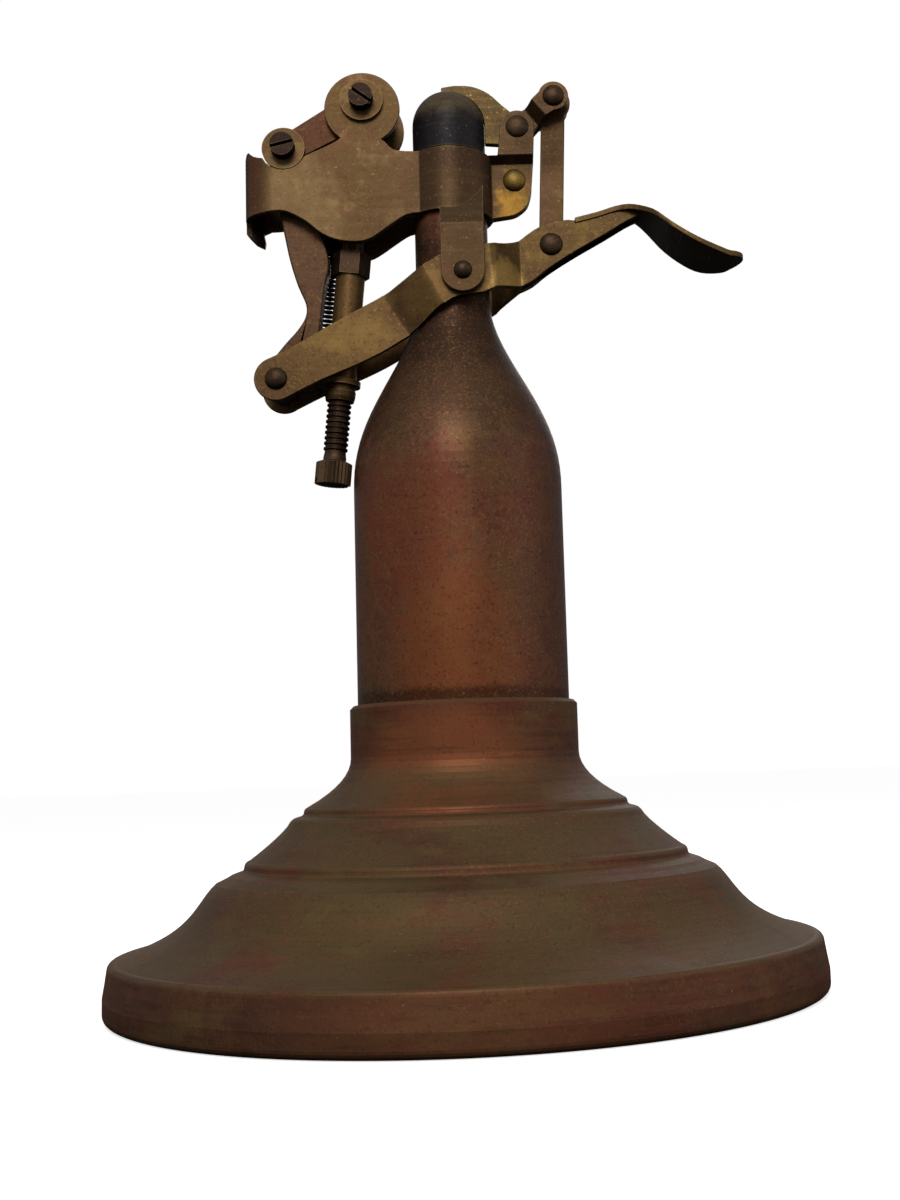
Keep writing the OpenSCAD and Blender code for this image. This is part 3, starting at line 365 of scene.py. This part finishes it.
        "tones": ("#3A3228", "#4A4032", "#564A3A", "#625542"),
        "cloudSize": 6, "mottleSize": 1.5,
        "speckSize": 0.35, "speckColour": "#6A5A44", "speckFrom": 0.6, "speckShare": 0.4,
        "pitSize": 0.6, "pitColour": "#1B1917", "pitShare": 0.4,
        "haze": "#6E5E48", "hazeShare": 0.5, "moteShare": 0.5, "shadeColour": "#12100E",
        "wear": "#75654B", "wearWidth": 0.25, "streakShare": 0.3,
        "metallic": 0.5, "rough": (0.42, 0.6), "grain": 0.3, "specular": 0.3, "tint": "#5A5A5E",
        "stainsAndLight": [
            stainOrLight((0, 0, 127.6), 7.4, (0.05, 0.05, 1), 1.0, "#222226", 0.9, core=0.7),
        ],
    },
    # oiled steel: wheels, pawl and hidden springs
    "oiledSteel": {
        "tones": ("#2E2B27", "#3C3833", "#4A453E", "#565048"),
        "cloudSize": 4, "mottleSize": 1.1,
        "speckSize": 0.3, "speckColour": "#64492F", "speckFrom": 0.62, "speckShare": 0.5,
        "pitSize": 0.5, "pitColour": "#1C1917", "pitShare": 0.4,
        "haze": "#3E392E", "hazeShare": 0.2, "moteShare": 0.2, "shadeColour": "#131110",
        "wear": "#726B60", "wearWidth": 0.15, "streakShare": 0.3,
        "metallic": 0.75, "rough": (0.34, 0.5), "grain": 0.2, "specular": 0.3, "tint": "#666666",
    },
    # sand-cast iron ballast under the foot
    "castIron": {
        "tones": ("#24211E", "#2F2B27", "#3A352F", "#463F37"),
        "cloudSize": 12, "mottleSize": 2.4,
        "speckSize": 0.8, "speckColour": "#5C3C26", "speckFrom": 0.58, "speckShare": 0.6,
        "pitSize": 1.2, "pitColour": "#161412", "pitShare": 0.6,
        "haze": "#35312A", "hazeShare": 0.2, "moteShare": 0.2, "shadeColour": "#0F0E0D",
        "wear": "#524C45", "wearWidth": 0.4, "streakShare": 0.0,
        "metallic": 0.4, "rough": (0.6, 0.8), "grain": 1.0, "specular": 0.25, "tint": "#555555",
    },
}

# what the skins of all the metals have in common; grain and scratches are coarser than life, so they show
patina = {
    "tonePlaces": (0.28, 0.45, 0.6, 0.78), "patchRim": 0.12, "raggedScale": 4,
    "streakSize": 0.8, "streakFlat": (0.05, 0.05, 1.0), "streakFade": 0.4,   # turning marks
    "brightStreak": (0.5, 0.68), "darkStreak": (0.48, 0.34),
    "hazeTilt": (0.1, 0.75), "bareSize": 0.45, "bareSpan": (0.36, 0.56),     # haze lies on what faces up
    "bareShift": (0.03, 0.01, 0.02), "bareStretch": (0.8, 0.8, 1.6),
    "speckRim": 0.14, "speckSpan": (0.38, 0.6), "thinnest": (0.25, 1.0), "pitSpan": (0.42, 0.32),
    "edgeTurn": (0.995, 0.9), "edgeSpan": (0.35, 0.6), "edgeBreak": (0.3, 1.0), "edgeShare": 0.7,
    "shadeCornerReach": 2.2, "shadeCornerSpan": (0.8, 0.3), "shadeCornerShare": 0.75,       # painted shade in the corners, from ambient occlusion
    "shadeUnderTilt": (-0.2, -0.85), "shadeUnderShare": 0.8,                           # painted shade on what faces down
    "moteSize": 0.5, "moteSpan": (0.79, 0.82), "moteColour": "#9A8872",      # pale dust and ash
    "roughSpan": (0.3, 0.7), "grainSize": 0.3, "grainStrength": 0.5, "grainDepth": 0.02,
    "scratchSize": 0.6, "scratchSpan": (0.72, 0.75), "scratchStrength": 0.3, "scratchDepth": 0.02,
    "scratchShare": 0.4,
    "scratchLays": (((0.5, 0.35, 0.5), 0.06), ((-0.9, -0.63, -0.9), 0.07)),  # turn in radians, stretch
}


# a node's four limits, from the span of a value to the span of its result
def between(span, result=(0.0, 1.0)):
    return {"From Min": span[0], "From Max": span[1], "To Min": result[0], "To Max": result[1]}


# lays a thin coat of one colour over the colour below it
def layCoat(tree, below, share, amount, colour):
    part = addNode(tree, "Math", times, {0: share, 1: amount})
    return addNode(tree, "Mix", inColour, {0: part, 6: below, 7: hexColour(colour)})


def layPatches(tree, place, colour, recipe):
    for area in recipe.get("patches", []):
        spread = addNode(tree, "Mapping", None, {"Vector": place, "Scale": area["stretch"]})
        pattern = addNode(tree, "TexNoise", None, {
            "Vector": spread, "Scale": 1 / (area["size"] * mm), "Detail": 3, "Roughness": 0.65})
        span = (area["start"], area["start"] + patina["patchRim"])
        share = addNode(tree, "MapRange", softStep, {"Value": pattern, **between(span)})
        colour = layCoat(tree, colour, share, area["amount"], area["colour"])
    return colour


def layStainsAndLight(tree, place, mixed, colour, recipe):
    uneven = addNode(tree, "Math", minus, {0: mixed, 1: 0.5})
    for spot in recipe.get("stainsAndLight", []):
        away = addNode(tree, "VectorMath", minus, {0: place, 1: Vector(spot["at"]) * mm})
        away = addNode(tree, "VectorMath", times, {0: away, 1: spot["squeeze"]})
        away = addNode(tree, "VectorMath", distance, {0: away})
        ragged = addNode(tree, "Math", times, {0: uneven, 1: spot["ragged"] * patina["raggedScale"] * mm})
        rim = addNode(tree, "Math", plus, {0: away, 1: ragged})
        span = (spot["reach"] * mm, spot["reach"] * spot["core"] * mm)
        share = addNode(tree, "MapRange", softStep, {"Value": rim, **between(span)})
        colour = layCoat(tree, colour, share, spot["amount"], spot["colour"])
    return colour


def layStreaks(tree, place, colour, recipe):
    flat = addNode(tree, "Mapping", None, {"Vector": place, "Scale": patina["streakFlat"]})
    streaks = addNode(tree, "TexNoise", None, {
        "Vector": flat, "Scale": 1 / (patina["streakSize"] * mm), "Detail": 4, "Roughness": 0.65})
    amount = recipe["streakShare"] * patina["streakFade"]
    streakTones = ((patina["brightStreak"], recipe["wear"]), (patina["darkStreak"], recipe["pitColour"]))
    for span, tone in streakTones:
        share = addNode(tree, "MapRange", softStep, {"Value": streaks, **between(span)})
        colour = layCoat(tree, colour, share, amount, tone)
    return colour


def layHaze(tree, place, height, colour, recipe):
    shifted = addNode(tree, "Mapping", None, {
        "Vector": place, "Location": patina["bareShift"], "Scale": patina["bareStretch"]})
    worn = addNode(tree, "TexNoise", None, {
        "Vector": shifted, "Scale": 1 / (recipe["cloudSize"] * patina["bareSize"] * mm),
        "Detail": 4, "Roughness": 0.65})
    facing = addNode(tree, "MapRange", softStep, {"Value": height, **between(patina["hazeTilt"])})
    left = addNode(tree, "MapRange", softStep, {
        "Value": worn, **between(patina["bareSpan"], patina["thinnest"])})
    share = addNode(tree, "Math", times, {0: facing, 1: left})
    return layCoat(tree, colour, share, recipe["hazeShare"], recipe["haze"])


# rubbed specks where the skin is thin, then small dark pits
def laySpecks(tree, place, mixed, colour, recipe):
    fine = addNode(tree, "TexNoise", None, {
        "Vector": place, "Scale": 1 / (recipe["speckSize"] * mm), "Detail": 3, "Roughness": 0.65})
    span = (recipe["speckFrom"], recipe["speckFrom"] + patina["speckRim"])
    specks = addNode(tree, "MapRange", softStep, {"Value": fine, **between(span)})
    thin = addNode(tree, "MapRange", softStep, {
        "Value": mixed, **between(patina["speckSpan"], patina["thinnest"])})
    share = addNode(tree, "Math", times, {0: specks, 1: thin})
    colour = layCoat(tree, colour, share, recipe["speckShare"], recipe["speckColour"])
    coarse = addNode(tree, "TexNoise", None, {
        "Vector": place, "Scale": 1 / (recipe["pitSize"] * mm), "Detail": 2, "Roughness": 0.6})
    pits = addNode(tree, "MapRange", softStep, {"Value": coarse, **between(patina["pitSpan"])})
    return layCoat(tree, colour, pits, recipe["pitShare"], recipe["pitColour"])


# bright rubbed edges, then painted shade in the corners and painted shade on what faces down
def layWearAndShade(tree, normal, height, mottle, colour, recipe):
    eased = addNode(tree, "Bevel", {"samples": 4}, {"Radius": recipe["wearWidth"] * mm})
    turn = addNode(tree, "VectorMath", along, {0: eased, 1: normal})
    edge = addNode(tree, "MapRange", softStep, {"Value": turn, **between(patina["edgeTurn"])})
    broken = addNode(tree, "MapRange", softStep, {
        "Value": mottle, **between(patina["edgeSpan"], patina["edgeBreak"])})
    share = addNode(tree, "Math", times, {0: edge, 1: broken})
    colour = layCoat(tree, colour, share, patina["edgeShare"], recipe["wear"])
    # painted shade: ambient occlusion darkens the corners towards the shade colour
    corner = addNode(tree, "AmbientOcclusion", {"samples": 6, "only_local": True}, {
        "Distance": patina["shadeCornerReach"] * mm}).outputs["AO"]
    cornerShade = addNode(tree, "MapRange", softStep, {
        "Value": corner, **between(patina["shadeCornerSpan"], (0.0, patina["shadeCornerShare"]))})
    colour = layCoat(tree, colour, cornerShade, 1, recipe["shadeColour"])
    # painted shade: what faces down is darkened towards the shade colour
    below = addNode(tree, "MapRange", softStep, {"Value": height, **between(patina["shadeUnderTilt"])})
    return layCoat(tree, colour, below, recipe.get("shadeUnderShare", patina["shadeUnderShare"]), recipe["shadeColour"])


def layMotes(tree, place, colour, recipe):
    pattern = addNode(tree, "TexNoise", None, {
        "Vector": place, "Scale": 1 / (patina["moteSize"] * mm), "Detail": 1, "Roughness": 0.5})
    motes = addNode(tree, "MapRange", softStep, {"Value": pattern, **between(patina["moteSpan"])})
    return layCoat(tree, colour, motes, recipe["moteShare"], patina["moteColour"])


# fine grain, then short hairline scratches in two directions
def raiseGrain(tree, place, colour, recipe):
    grain = addNode(tree, "TexNoise", None, {
        "Vector": place, "Scale": 1 / (patina["grainSize"] * mm), "Detail": 4, "Roughness": 0.7})
    lift = addNode(tree, "Bump", None, {
        "Height": grain, "Strength": recipe["grain"] * patina["grainStrength"],
        "Distance": patina["grainDepth"] * mm})
    for turn, stretch in patina["scratchLays"]:
        lay = addNode(tree, "Mapping", None, {
            "Vector": place, "Rotation": turn, "Scale": (1.0, stretch, 1.0)})
        lines = addNode(tree, "TexNoise", None, {
            "Vector": lay, "Scale": 1 / (patina["scratchSize"] * mm), "Detail": 1, "Roughness": 0.5})
        scratch = addNode(tree, "MapRange", softStep, {"Value": lines, **between(patina["scratchSpan"])})
        lift = addNode(tree, "Bump", None, {
            "Height": scratch, "Strength": patina["scratchStrength"],
            "Distance": -patina["scratchDepth"] * mm, "Normal": lift})
        colour = layCoat(tree, colour, scratch, patina["scratchShare"], recipe["wear"])
    return lift, colour


def makeMetal(name):
    recipe = metals[name]
    made, tree = newMaterial(name)
    place = addNode(tree, "TexCoord").outputs["Object"]
    normal = addNode(tree, "NewGeometry").outputs["Normal"]
    height = addNode(tree, "SeparateXYZ", None, {0: normal}).outputs["Z"]
    cloud = addNode(tree, "TexNoise", None, {
        "Vector": place, "Scale": 1 / (recipe["cloudSize"] * mm), "Detail": 4, "Roughness": 0.6})
    mottle = addNode(tree, "TexNoise", None, {
        "Vector": place, "Scale": 1 / (recipe["mottleSize"] * mm), "Detail": 5, "Roughness": 0.65})
    mixed = addNode(tree, "Mix", {"data_type": "FLOAT"}, {0: 0.5, 2: cloud, 3: mottle})
    stops = list(zip(patina["tonePlaces"], recipe["tones"]))
    colour = addNode(tree, "ValToRGB", {"stops": stops}, {"Fac": mixed})
    colour = layPatches(tree, place, colour, recipe)
    colour = layStainsAndLight(tree, place, mixed, colour, recipe)
    colour = layStreaks(tree, place, colour, recipe)
    colour = layHaze(tree, place, height, colour, recipe)
    colour = laySpecks(tree, place, mixed, colour, recipe)
    colour = layWearAndShade(tree, normal, height, mottle, colour, recipe)
    colour = layMotes(tree, place, colour, recipe)
    lift, colour = raiseGrain(tree, place, colour, recipe)
    rough = addNode(tree, "MapRange", softStep, {
        "Value": mixed, **between(patina["roughSpan"], recipe["rough"])})
    skin = addNode(tree, "BsdfPrincipled", None, {
        "Base Color": colour, "Metallic": recipe["metallic"], "Roughness": rough, "Normal": lift,
        "Specular IOR Level": recipe["specular"], "Specular Tint": hexColour(recipe["tint"])})
    addNode(tree, "OutputMaterial", None, {"Surface": skin})
    return made


finishes = {name: makeMetal(name) for name in metals}
print("metals mixed")

# soft stuffs and the flint, each with its fibre's size and height in mm, coarser than life so that they show
softStuffs = {
    # pressed wool felt: a dark green nap with no shine
    "woolFelt": {"colours": ("#2A3524", "#3C4A32"), "fibre": 0.4, "rough": 0.95, "lift": 0.12},
    # twisted cotton: matt cream strands, burnt at the tip
    "cottonWick": {"colours": ("#B8AC8E", "#DAD2BC"), "fibre": 0.25, "rough": 0.9, "lift": 0.08,
                   "burnt": (129, 132.3), "char": "#1C1815"},   # burnt brown to black between these heights
    # pressed cork: warm brown grain, a little smoother
    "cork": {"colours": ("#6E5232", "#9A7A50"), "fibre": 0.8, "rough": 0.85, "lift": 0.1},
    # sparking alloy: dark grey metal with a dull break
    "flintAlloy": {"colours": ("#35353A", "#4C4C50"), "fibre": 0.3, "rough": 0.5, "lift": 0.03,
                   "metallic": 0.7},
}
fibrePlaces = (0.35, 0.65)   # where the fibre pattern takes its two colours


def makeSoft(name):
    recipe = softStuffs[name]
    made, tree = newMaterial(name)
    place = addNode(tree, "TexCoord").outputs["Object"]
    fibre = addNode(tree, "TexNoise", None, {
        "Vector": place, "Scale": 1 / (recipe["fibre"] * mm), "Detail": 5, "Roughness": 0.7,
        "Distortion": 1.5})
    stops = list(zip(fibrePlaces, recipe["colours"]))
    colour = addNode(tree, "ValToRGB", {"stops": stops}, {"Fac": fibre})
    if "burnt" in recipe:
        height = addNode(tree, "SeparateXYZ", None, {0: place}).outputs["Z"]
        span = [edge * mm for edge in recipe["burnt"]]
        burn = addNode(tree, "MapRange", softStep, {"Value": height, **between(span)})
        colour = layCoat(tree, colour, burn, 1, recipe["char"])
    lift = addNode(tree, "Bump", None, {"Height": fibre, "Strength": 0.8, "Distance": recipe["lift"] * mm})
    skin = addNode(tree, "BsdfPrincipled", None, {
        "Base Color": colour, "Roughness": recipe["rough"], "Normal": lift,
        "Metallic": recipe.get("metallic", 0.0)})
    addNode(tree, "OutputMaterial", None, {"Surface": skin})
    return made


finishes.update({name: makeSoft(name) for name in softStuffs})
print("soft stuffs mixed")

# every CAD node gets its finish
nodeFinish = {
    "tankCopper": ["tank_shell", "tank_bottom"],
    "footCopper": ["base_shell", "base_plate"],
    "frameBrass": ["frame_strap", "lug_front", "lug_rear", "link", "crank_washer", "axle_washer"],
    "agedBrass": ["lever", "flint_guide", "flint_tube", "spring_anchor", "wick_tube", "filler_plug"],
    "ruddyBrass": ["push_rod", "crank_arm_front", "crank_arm_rear"],
    "blackScrew": ["axle_screw", "axle_nut", "crank_screw", "crank_nut", "flint_screw", "return_spring"],
    "darkBrass": ["lever_rivets", "push_rod_rivet", "link_rivet_lower", "link_rivet_upper", "cap_rivet",
                  "flint_tube_nut", "flint_follower"],
    "rubbedBrass": ["strap_rivet", "cap_arm"],
    "smokedSteel": ["snuffer_cap"],
    "oiledSteel": ["flint_wheel", "ratchet_wheel", "pawl", "pawl_pin", "pawl_spring", "spring_post",
                   "flint_spring"],
    "castIron": ["base_weight"],
    "woolFelt": ["base_felt"],
    "cottonWick": ["wick", "cotton_packing"],
    "cork": ["cap_pad"],
    "flintAlloy": ["flint"],
}
finishOf = {node: finishes[finish] for finish, nodes in nodeFinish.items() for node in nodes}
bodyOf = {node: body for body, nodes in frame["record"]["behaviour"]["bodies"].items() for node in nodes}
for name, node in frame["nodes"].items():
    node.data.materials.clear()
    node.data.materials.append(finishOf[name])
print("finishes on", len(finishOf), "nodes")

# sheet metal with its sheared edges eased: a merged copy stands for the node
easedEdges = {   # node: width of the eased edge in mm
    "frame_strap": 0.15, "lever": 0.15, "push_rod": 0.28, "link": 0.2, "cap_arm": 0.2,
    "lug_front": 0.16, "lug_rear": 0.16, "crank_arm_front": 0.18, "crank_arm_rear": 0.18,
}
bentEdges = {"lever": 0.8}   # the lever's upright bend lines are rounded further
keptCorners = {   # where the legs leave the wrap, their edges stay as they are
    "frame_strap": {"x": (-1.7, 5.5), "z": (115.5, 122.4), "away": 4},
}
sheet = {   # lengths in mm, angles in degrees between two faces
    "weld": 0.002, "flat": 0.5, "cutEdge": 38, "bendLine": 18, "squareEdge": 75, "smooth": 26,
    "upright": 0.8, "shortest": 2, "segments": 4, "flatWeight": 100,
}


def select(piece):
    bpy.ops.object.select_all(action="DESELECT")
    piece.select_set(True)
    bpy.context.view_layer.objects.active = piece


def mergedCopy(node, name):
    source = frame["nodes"][node]
    piece = bpy.data.objects.new(name, source.data.copy())
    bpy.context.collection.objects.link(piece)
    select(piece)
    bpy.ops.mesh.customdata_custom_splitnormals_clear()
    bpy.ops.object.mode_set(mode="EDIT")
    bpy.ops.mesh.select_all(action="SELECT")
    bpy.ops.mesh.remove_doubles(threshold=sheet["weld"] * mm)
    bpy.ops.mesh.dissolve_limited(angle_limit=math.radians(sheet["flat"]))
    bpy.ops.object.mode_set(mode="OBJECT")
    return piece


def standIn(piece, node):
    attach(piece, bodyOf[node])
    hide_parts(node)


def sharpEdges(piece, angle):
    select(piece)
    bpy.ops.object.mode_set(mode="EDIT")
    bpy.ops.mesh.select_mode(type="EDGE")
    bpy.ops.mesh.select_all(action="DESELECT")
    bpy.ops.mesh.edges_select_sharp(sharpness=math.radians(angle))
    bpy.ops.object.mode_set(mode="OBJECT")
    return {edge.index for edge in piece.data.edges if edge.select}


def roundEdges(piece, chosen, width):
    share = piece.data.attributes.new("bevel_weight_edge", "FLOAT", "EDGE")
    for edge in piece.data.edges:
        share.data[edge.index].value = float(edge.index in chosen)
    bevel = piece.modifiers.new("ease", "BEVEL")
    bevel.width = width * mm
    bevel.segments = sheet["segments"]
    bevel.limit_method = "WEIGHT"
    bevel.use_clamp_overlap = False
    bevel.miter_outer = "MITER_SHARP"
    bpy.ops.object.modifier_apply(modifier="ease")
    used = piece.data.attributes.get("bevel_weight_edge")
    if used:
        piece.data.attributes.remove(used)


def edgeEnds(piece, index):
    return [piece.data.vertices[end].co / mm for end in piece.data.edges[index].vertices]


def isUpright(piece, index):
    start, end = edgeEnds(piece, index)
    run = start - end
    return abs(run.z) > sheet["upright"] * run.length and run.length > sheet["shortest"]


def isKept(piece, index, corner):
    x, y, z = sum(edgeEnds(piece, index), Vector()) / 2
    inside = corner["x"][0] < x < corner["x"][1] and corner["z"][0] < z < corner["z"][1]
    return inside and abs(y) > corner["away"]


def easeEdges(node, width):
    first, *others = node.split("_")
    piece = mergedCopy(node, first + "".join(word.title() for word in others) + "Eased")
    if node in bentEdges:
        bends = sharpEdges(piece, sheet["bendLine"]) - sharpEdges(piece, sheet["squareEdge"])
        bends = {edge for edge in bends if isUpright(piece, edge)}
        roundEdges(piece, bends, bentEdges[node])
        print(node, "bend lines rounded:", len(bends))
    cut = sharpEdges(piece, sheet["cutEdge"])
    if node in keptCorners:
        cut = {edge for edge in cut if not isKept(piece, edge, keptCorners[node])}
    roundEdges(piece, cut, width)
    bpy.ops.object.shade_smooth_by_angle(angle=math.radians(sheet["smooth"]))
    weigh = piece.modifiers.new("weigh", "WEIGHTED_NORMAL")   # keeps the flats flat
    weigh.weight = sheet["flatWeight"]
    weigh.keep_sharp = True
    bpy.ops.object.modifier_apply(modifier="weigh")
    standIn(piece, node)


for node, width in easedEdges.items():
    easeEdges(node, width)
print("edges eased on", len(easedEdges), "sheet pieces")

# wound springs: lengths in mm, tail is the straight wire at each end
returnSpring = {
    "foot": (-21.016, 2.2, 91.024), "head": (-17.698, 2.2, 129.879), "radius": 1.05, "wire": 0.2,
    "turns": 46, "steps": 20, "tail": 3, "bevel": 2, "bendFrom": 4.6, "bendTo": 0.3,
}
feedSpring = {   # foot and head are distances from the wheel's axle down the leaning tube
    "axle": (-13.1, 0, 135.7), "lean": 5.8, "foot": 39.9, "head": 15.0, "radius": 0.98, "wire": 0.17,
    "turns": 34, "steps": 14, "tail": 0.3, "bevel": 1,
}
wireSmooth = 50   # degrees


# a wire through a list of points in mm
def wirePiece(name, points, spring):
    bpy.ops.curve.primitive_bezier_curve_add()
    piece = bpy.context.object
    piece.name = name
    curve = piece.data
    curve.splines.clear()
    line = curve.splines.new("POLY")
    line.points.add(len(points) - 1)
    for spot, point in zip(line.points, points):
        spot.co = (*(point * mm), 1)
    curve.bevel_depth = spring["wire"] * mm
    curve.bevel_resolution = spring["bevel"]
    curve.use_fill_caps = True
    select(piece)
    bpy.ops.object.convert(target="MESH")
    bpy.ops.object.mode_set(mode="EDIT")
    bpy.ops.mesh.select_all(action="SELECT")
    bpy.ops.mesh.remove_doubles(threshold=sheet["weld"] * mm)
    bpy.ops.mesh.normals_make_consistent(inside=False)
    bpy.ops.object.mode_set(mode="OBJECT")
    bpy.ops.object.shade_smooth_by_angle(angle=math.radians(wireSmooth))
    return piece


def coilPoints(foot, head, spring):
    axis = (head - foot).normalized()
    side = axis.cross(Vector((0, 1, 0))).normalized()
    depth = axis.cross(side)
    tail, steps = spring["tail"], spring["steps"]
    wound = (head - foot).length - 2 * tail
    points = [foot, foot + axis * tail * 0.5]
    count = spring["turns"] * steps
    runIn = steps / 2   # each end runs in within half a turn
    for step in range(count + 1):
        swell = min(1, step / runIn, (count - step) / runIn)
        angle = math.tau * step / steps
        around = side * math.cos(angle) + depth * math.sin(angle)
        points.append(foot + axis * (tail + wound * step / count) + around * spring["radius"] * swell)
    return points + [head - axis * tail * 0.5, head]


# the crank pulls the return spring's upper end
def makeReturnSpring():
    foot, head = Vector(returnSpring["foot"]), Vector(returnSpring["head"])
    piece = wirePiece("returnCoil", coilPoints(foot, head, returnSpring), returnSpring)
    piece.data.materials.append(finishOf["return_spring"])
    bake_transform(piece)
    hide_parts("return_spring")


def makeFeedSpring():
    lean = math.radians(feedSpring["lean"])
    downTube = Vector((-math.sin(lean), 0, -math.cos(lean)))
    foot = Vector(feedSpring["axle"]) + downTube * feedSpring["foot"]
    head = Vector(feedSpring["axle"]) + downTube * feedSpring["head"]
    piece = wirePiece("flintCoil", coilPoints(foot, head, feedSpring), feedSpring)
    piece.data.materials.append(finishOf["flint_spring"])
    standIn(piece, "flint_spring")


makeReturnSpring()
makeFeedSpring()
print("springs wound")

# wick: twisted cotton strands, burnt at the tip; pitch is the height of one turn
wick = {
    "foot": 31.05, "top": 132.4, "strands": 6, "strandRadius": 0.86, "sides": 8, "lay": 1.5, "pitch": 13.0,
    "stepsPerTurn": 22, "smooth": 60,
}


def makeWick():
    start = (wick["lay"] * mm, 0, wick["foot"] * mm)
    bpy.ops.mesh.primitive_circle_add(vertices=wick["sides"], radius=wick["strandRadius"] * mm,
                                      fill_type="NGON", location=start)
    piece = bpy.context.object
    piece.name = "cottonRope"
    bpy.ops.object.transform_apply(location=True, rotation=True, scale=True)
    strands = [piece]
    for number in range(1, wick["strands"]):
        other = piece.copy()
        other.data = piece.data.copy()
        bpy.context.collection.objects.link(other)
        other.data.transform(Matrix.Rotation(math.tau * number / wick["strands"], 4, "Z"))
        strands.append(other)
    bpy.ops.object.select_all(action="DESELECT")
    for strand in strands:
        strand.select_set(True)
    bpy.context.view_layer.objects.active = piece
    bpy.ops.object.join()
    height = wick["top"] - wick["foot"]
    turns = height / wick["pitch"]
    steps = int(turns * wick["stepsPerTurn"])
    bpy.ops.object.mode_set(mode="EDIT")
    bpy.ops.mesh.select_all(action="SELECT")
    for step in range(steps):
        bpy.ops.mesh.extrude_region_move(TRANSFORM_OT_translate={"value": (0, 0, height / steps * mm)})
        bpy.ops.transform.rotate(value=-math.tau * turns / steps, orient_axis="Z", center_override=(0, 0, 0))
    bpy.ops.mesh.select_all(action="SELECT")
    bpy.ops.mesh.normals_make_consistent(inside=False)
    bpy.ops.object.mode_set(mode="OBJECT")
    bpy.ops.object.shade_smooth_by_angle(angle=math.radians(wick["smooth"]))
    piece.data.materials.append(finishOf["wick"])
    standIn(piece, "wick")


makeWick()
print("wick twisted")

# cotton packing in the tank, a loose wad round the wick: ruffled outside its core, then smoothed
packing = {"voxel": 1.1, "core": 8, "ruffle": 0.9, "seed": 4, "smoothings": 3, "fill": 0.8}


def makePacking():
    piece = mergedCopy("cotton_packing", "cottonWad")
    remesh = piece.modifiers.new("even", "REMESH")
    remesh.mode = "VOXEL"
    remesh.voxel_size = packing["voxel"] * mm
    bpy.ops.object.modifier_apply(modifier="even")
    random.seed(packing["seed"])
    for vertex in piece.data.vertices:
        reach = Vector((vertex.co.x, vertex.co.y, 0))
        if reach.length > packing["core"] * mm:
            vertex.co -= reach.normalized() * packing["ruffle"] * mm * random.random()
    smooth = piece.modifiers.new("soften", "SMOOTH")
    smooth.iterations = packing["smoothings"]
    bpy.ops.object.modifier_apply(modifier="soften")
    bpy.ops.object.shade_smooth()
    standIn(piece, "cotton_packing")


makePacking()
print("packing stuffed")

# felt under the foot
felt = {"ease": 0.15, "segments": 2, "angle": 40}


def makeFelt():
    piece = mergedCopy("base_felt", "feltDisc")
    rim = piece.modifiers.new("ease", "BEVEL")
    rim.width = felt["ease"] * mm
    rim.segments = felt["segments"]
    rim.limit_method = "ANGLE"
    rim.angle_limit = math.radians(felt["angle"])
    rim.use_clamp_overlap = False
    bpy.ops.object.modifier_apply(modifier="ease")
    bpy.ops.object.shade_smooth_by_angle(angle=math.radians(felt["angle"]))
    standIn(piece, "base_felt")


makeFelt()
print("felt laid")
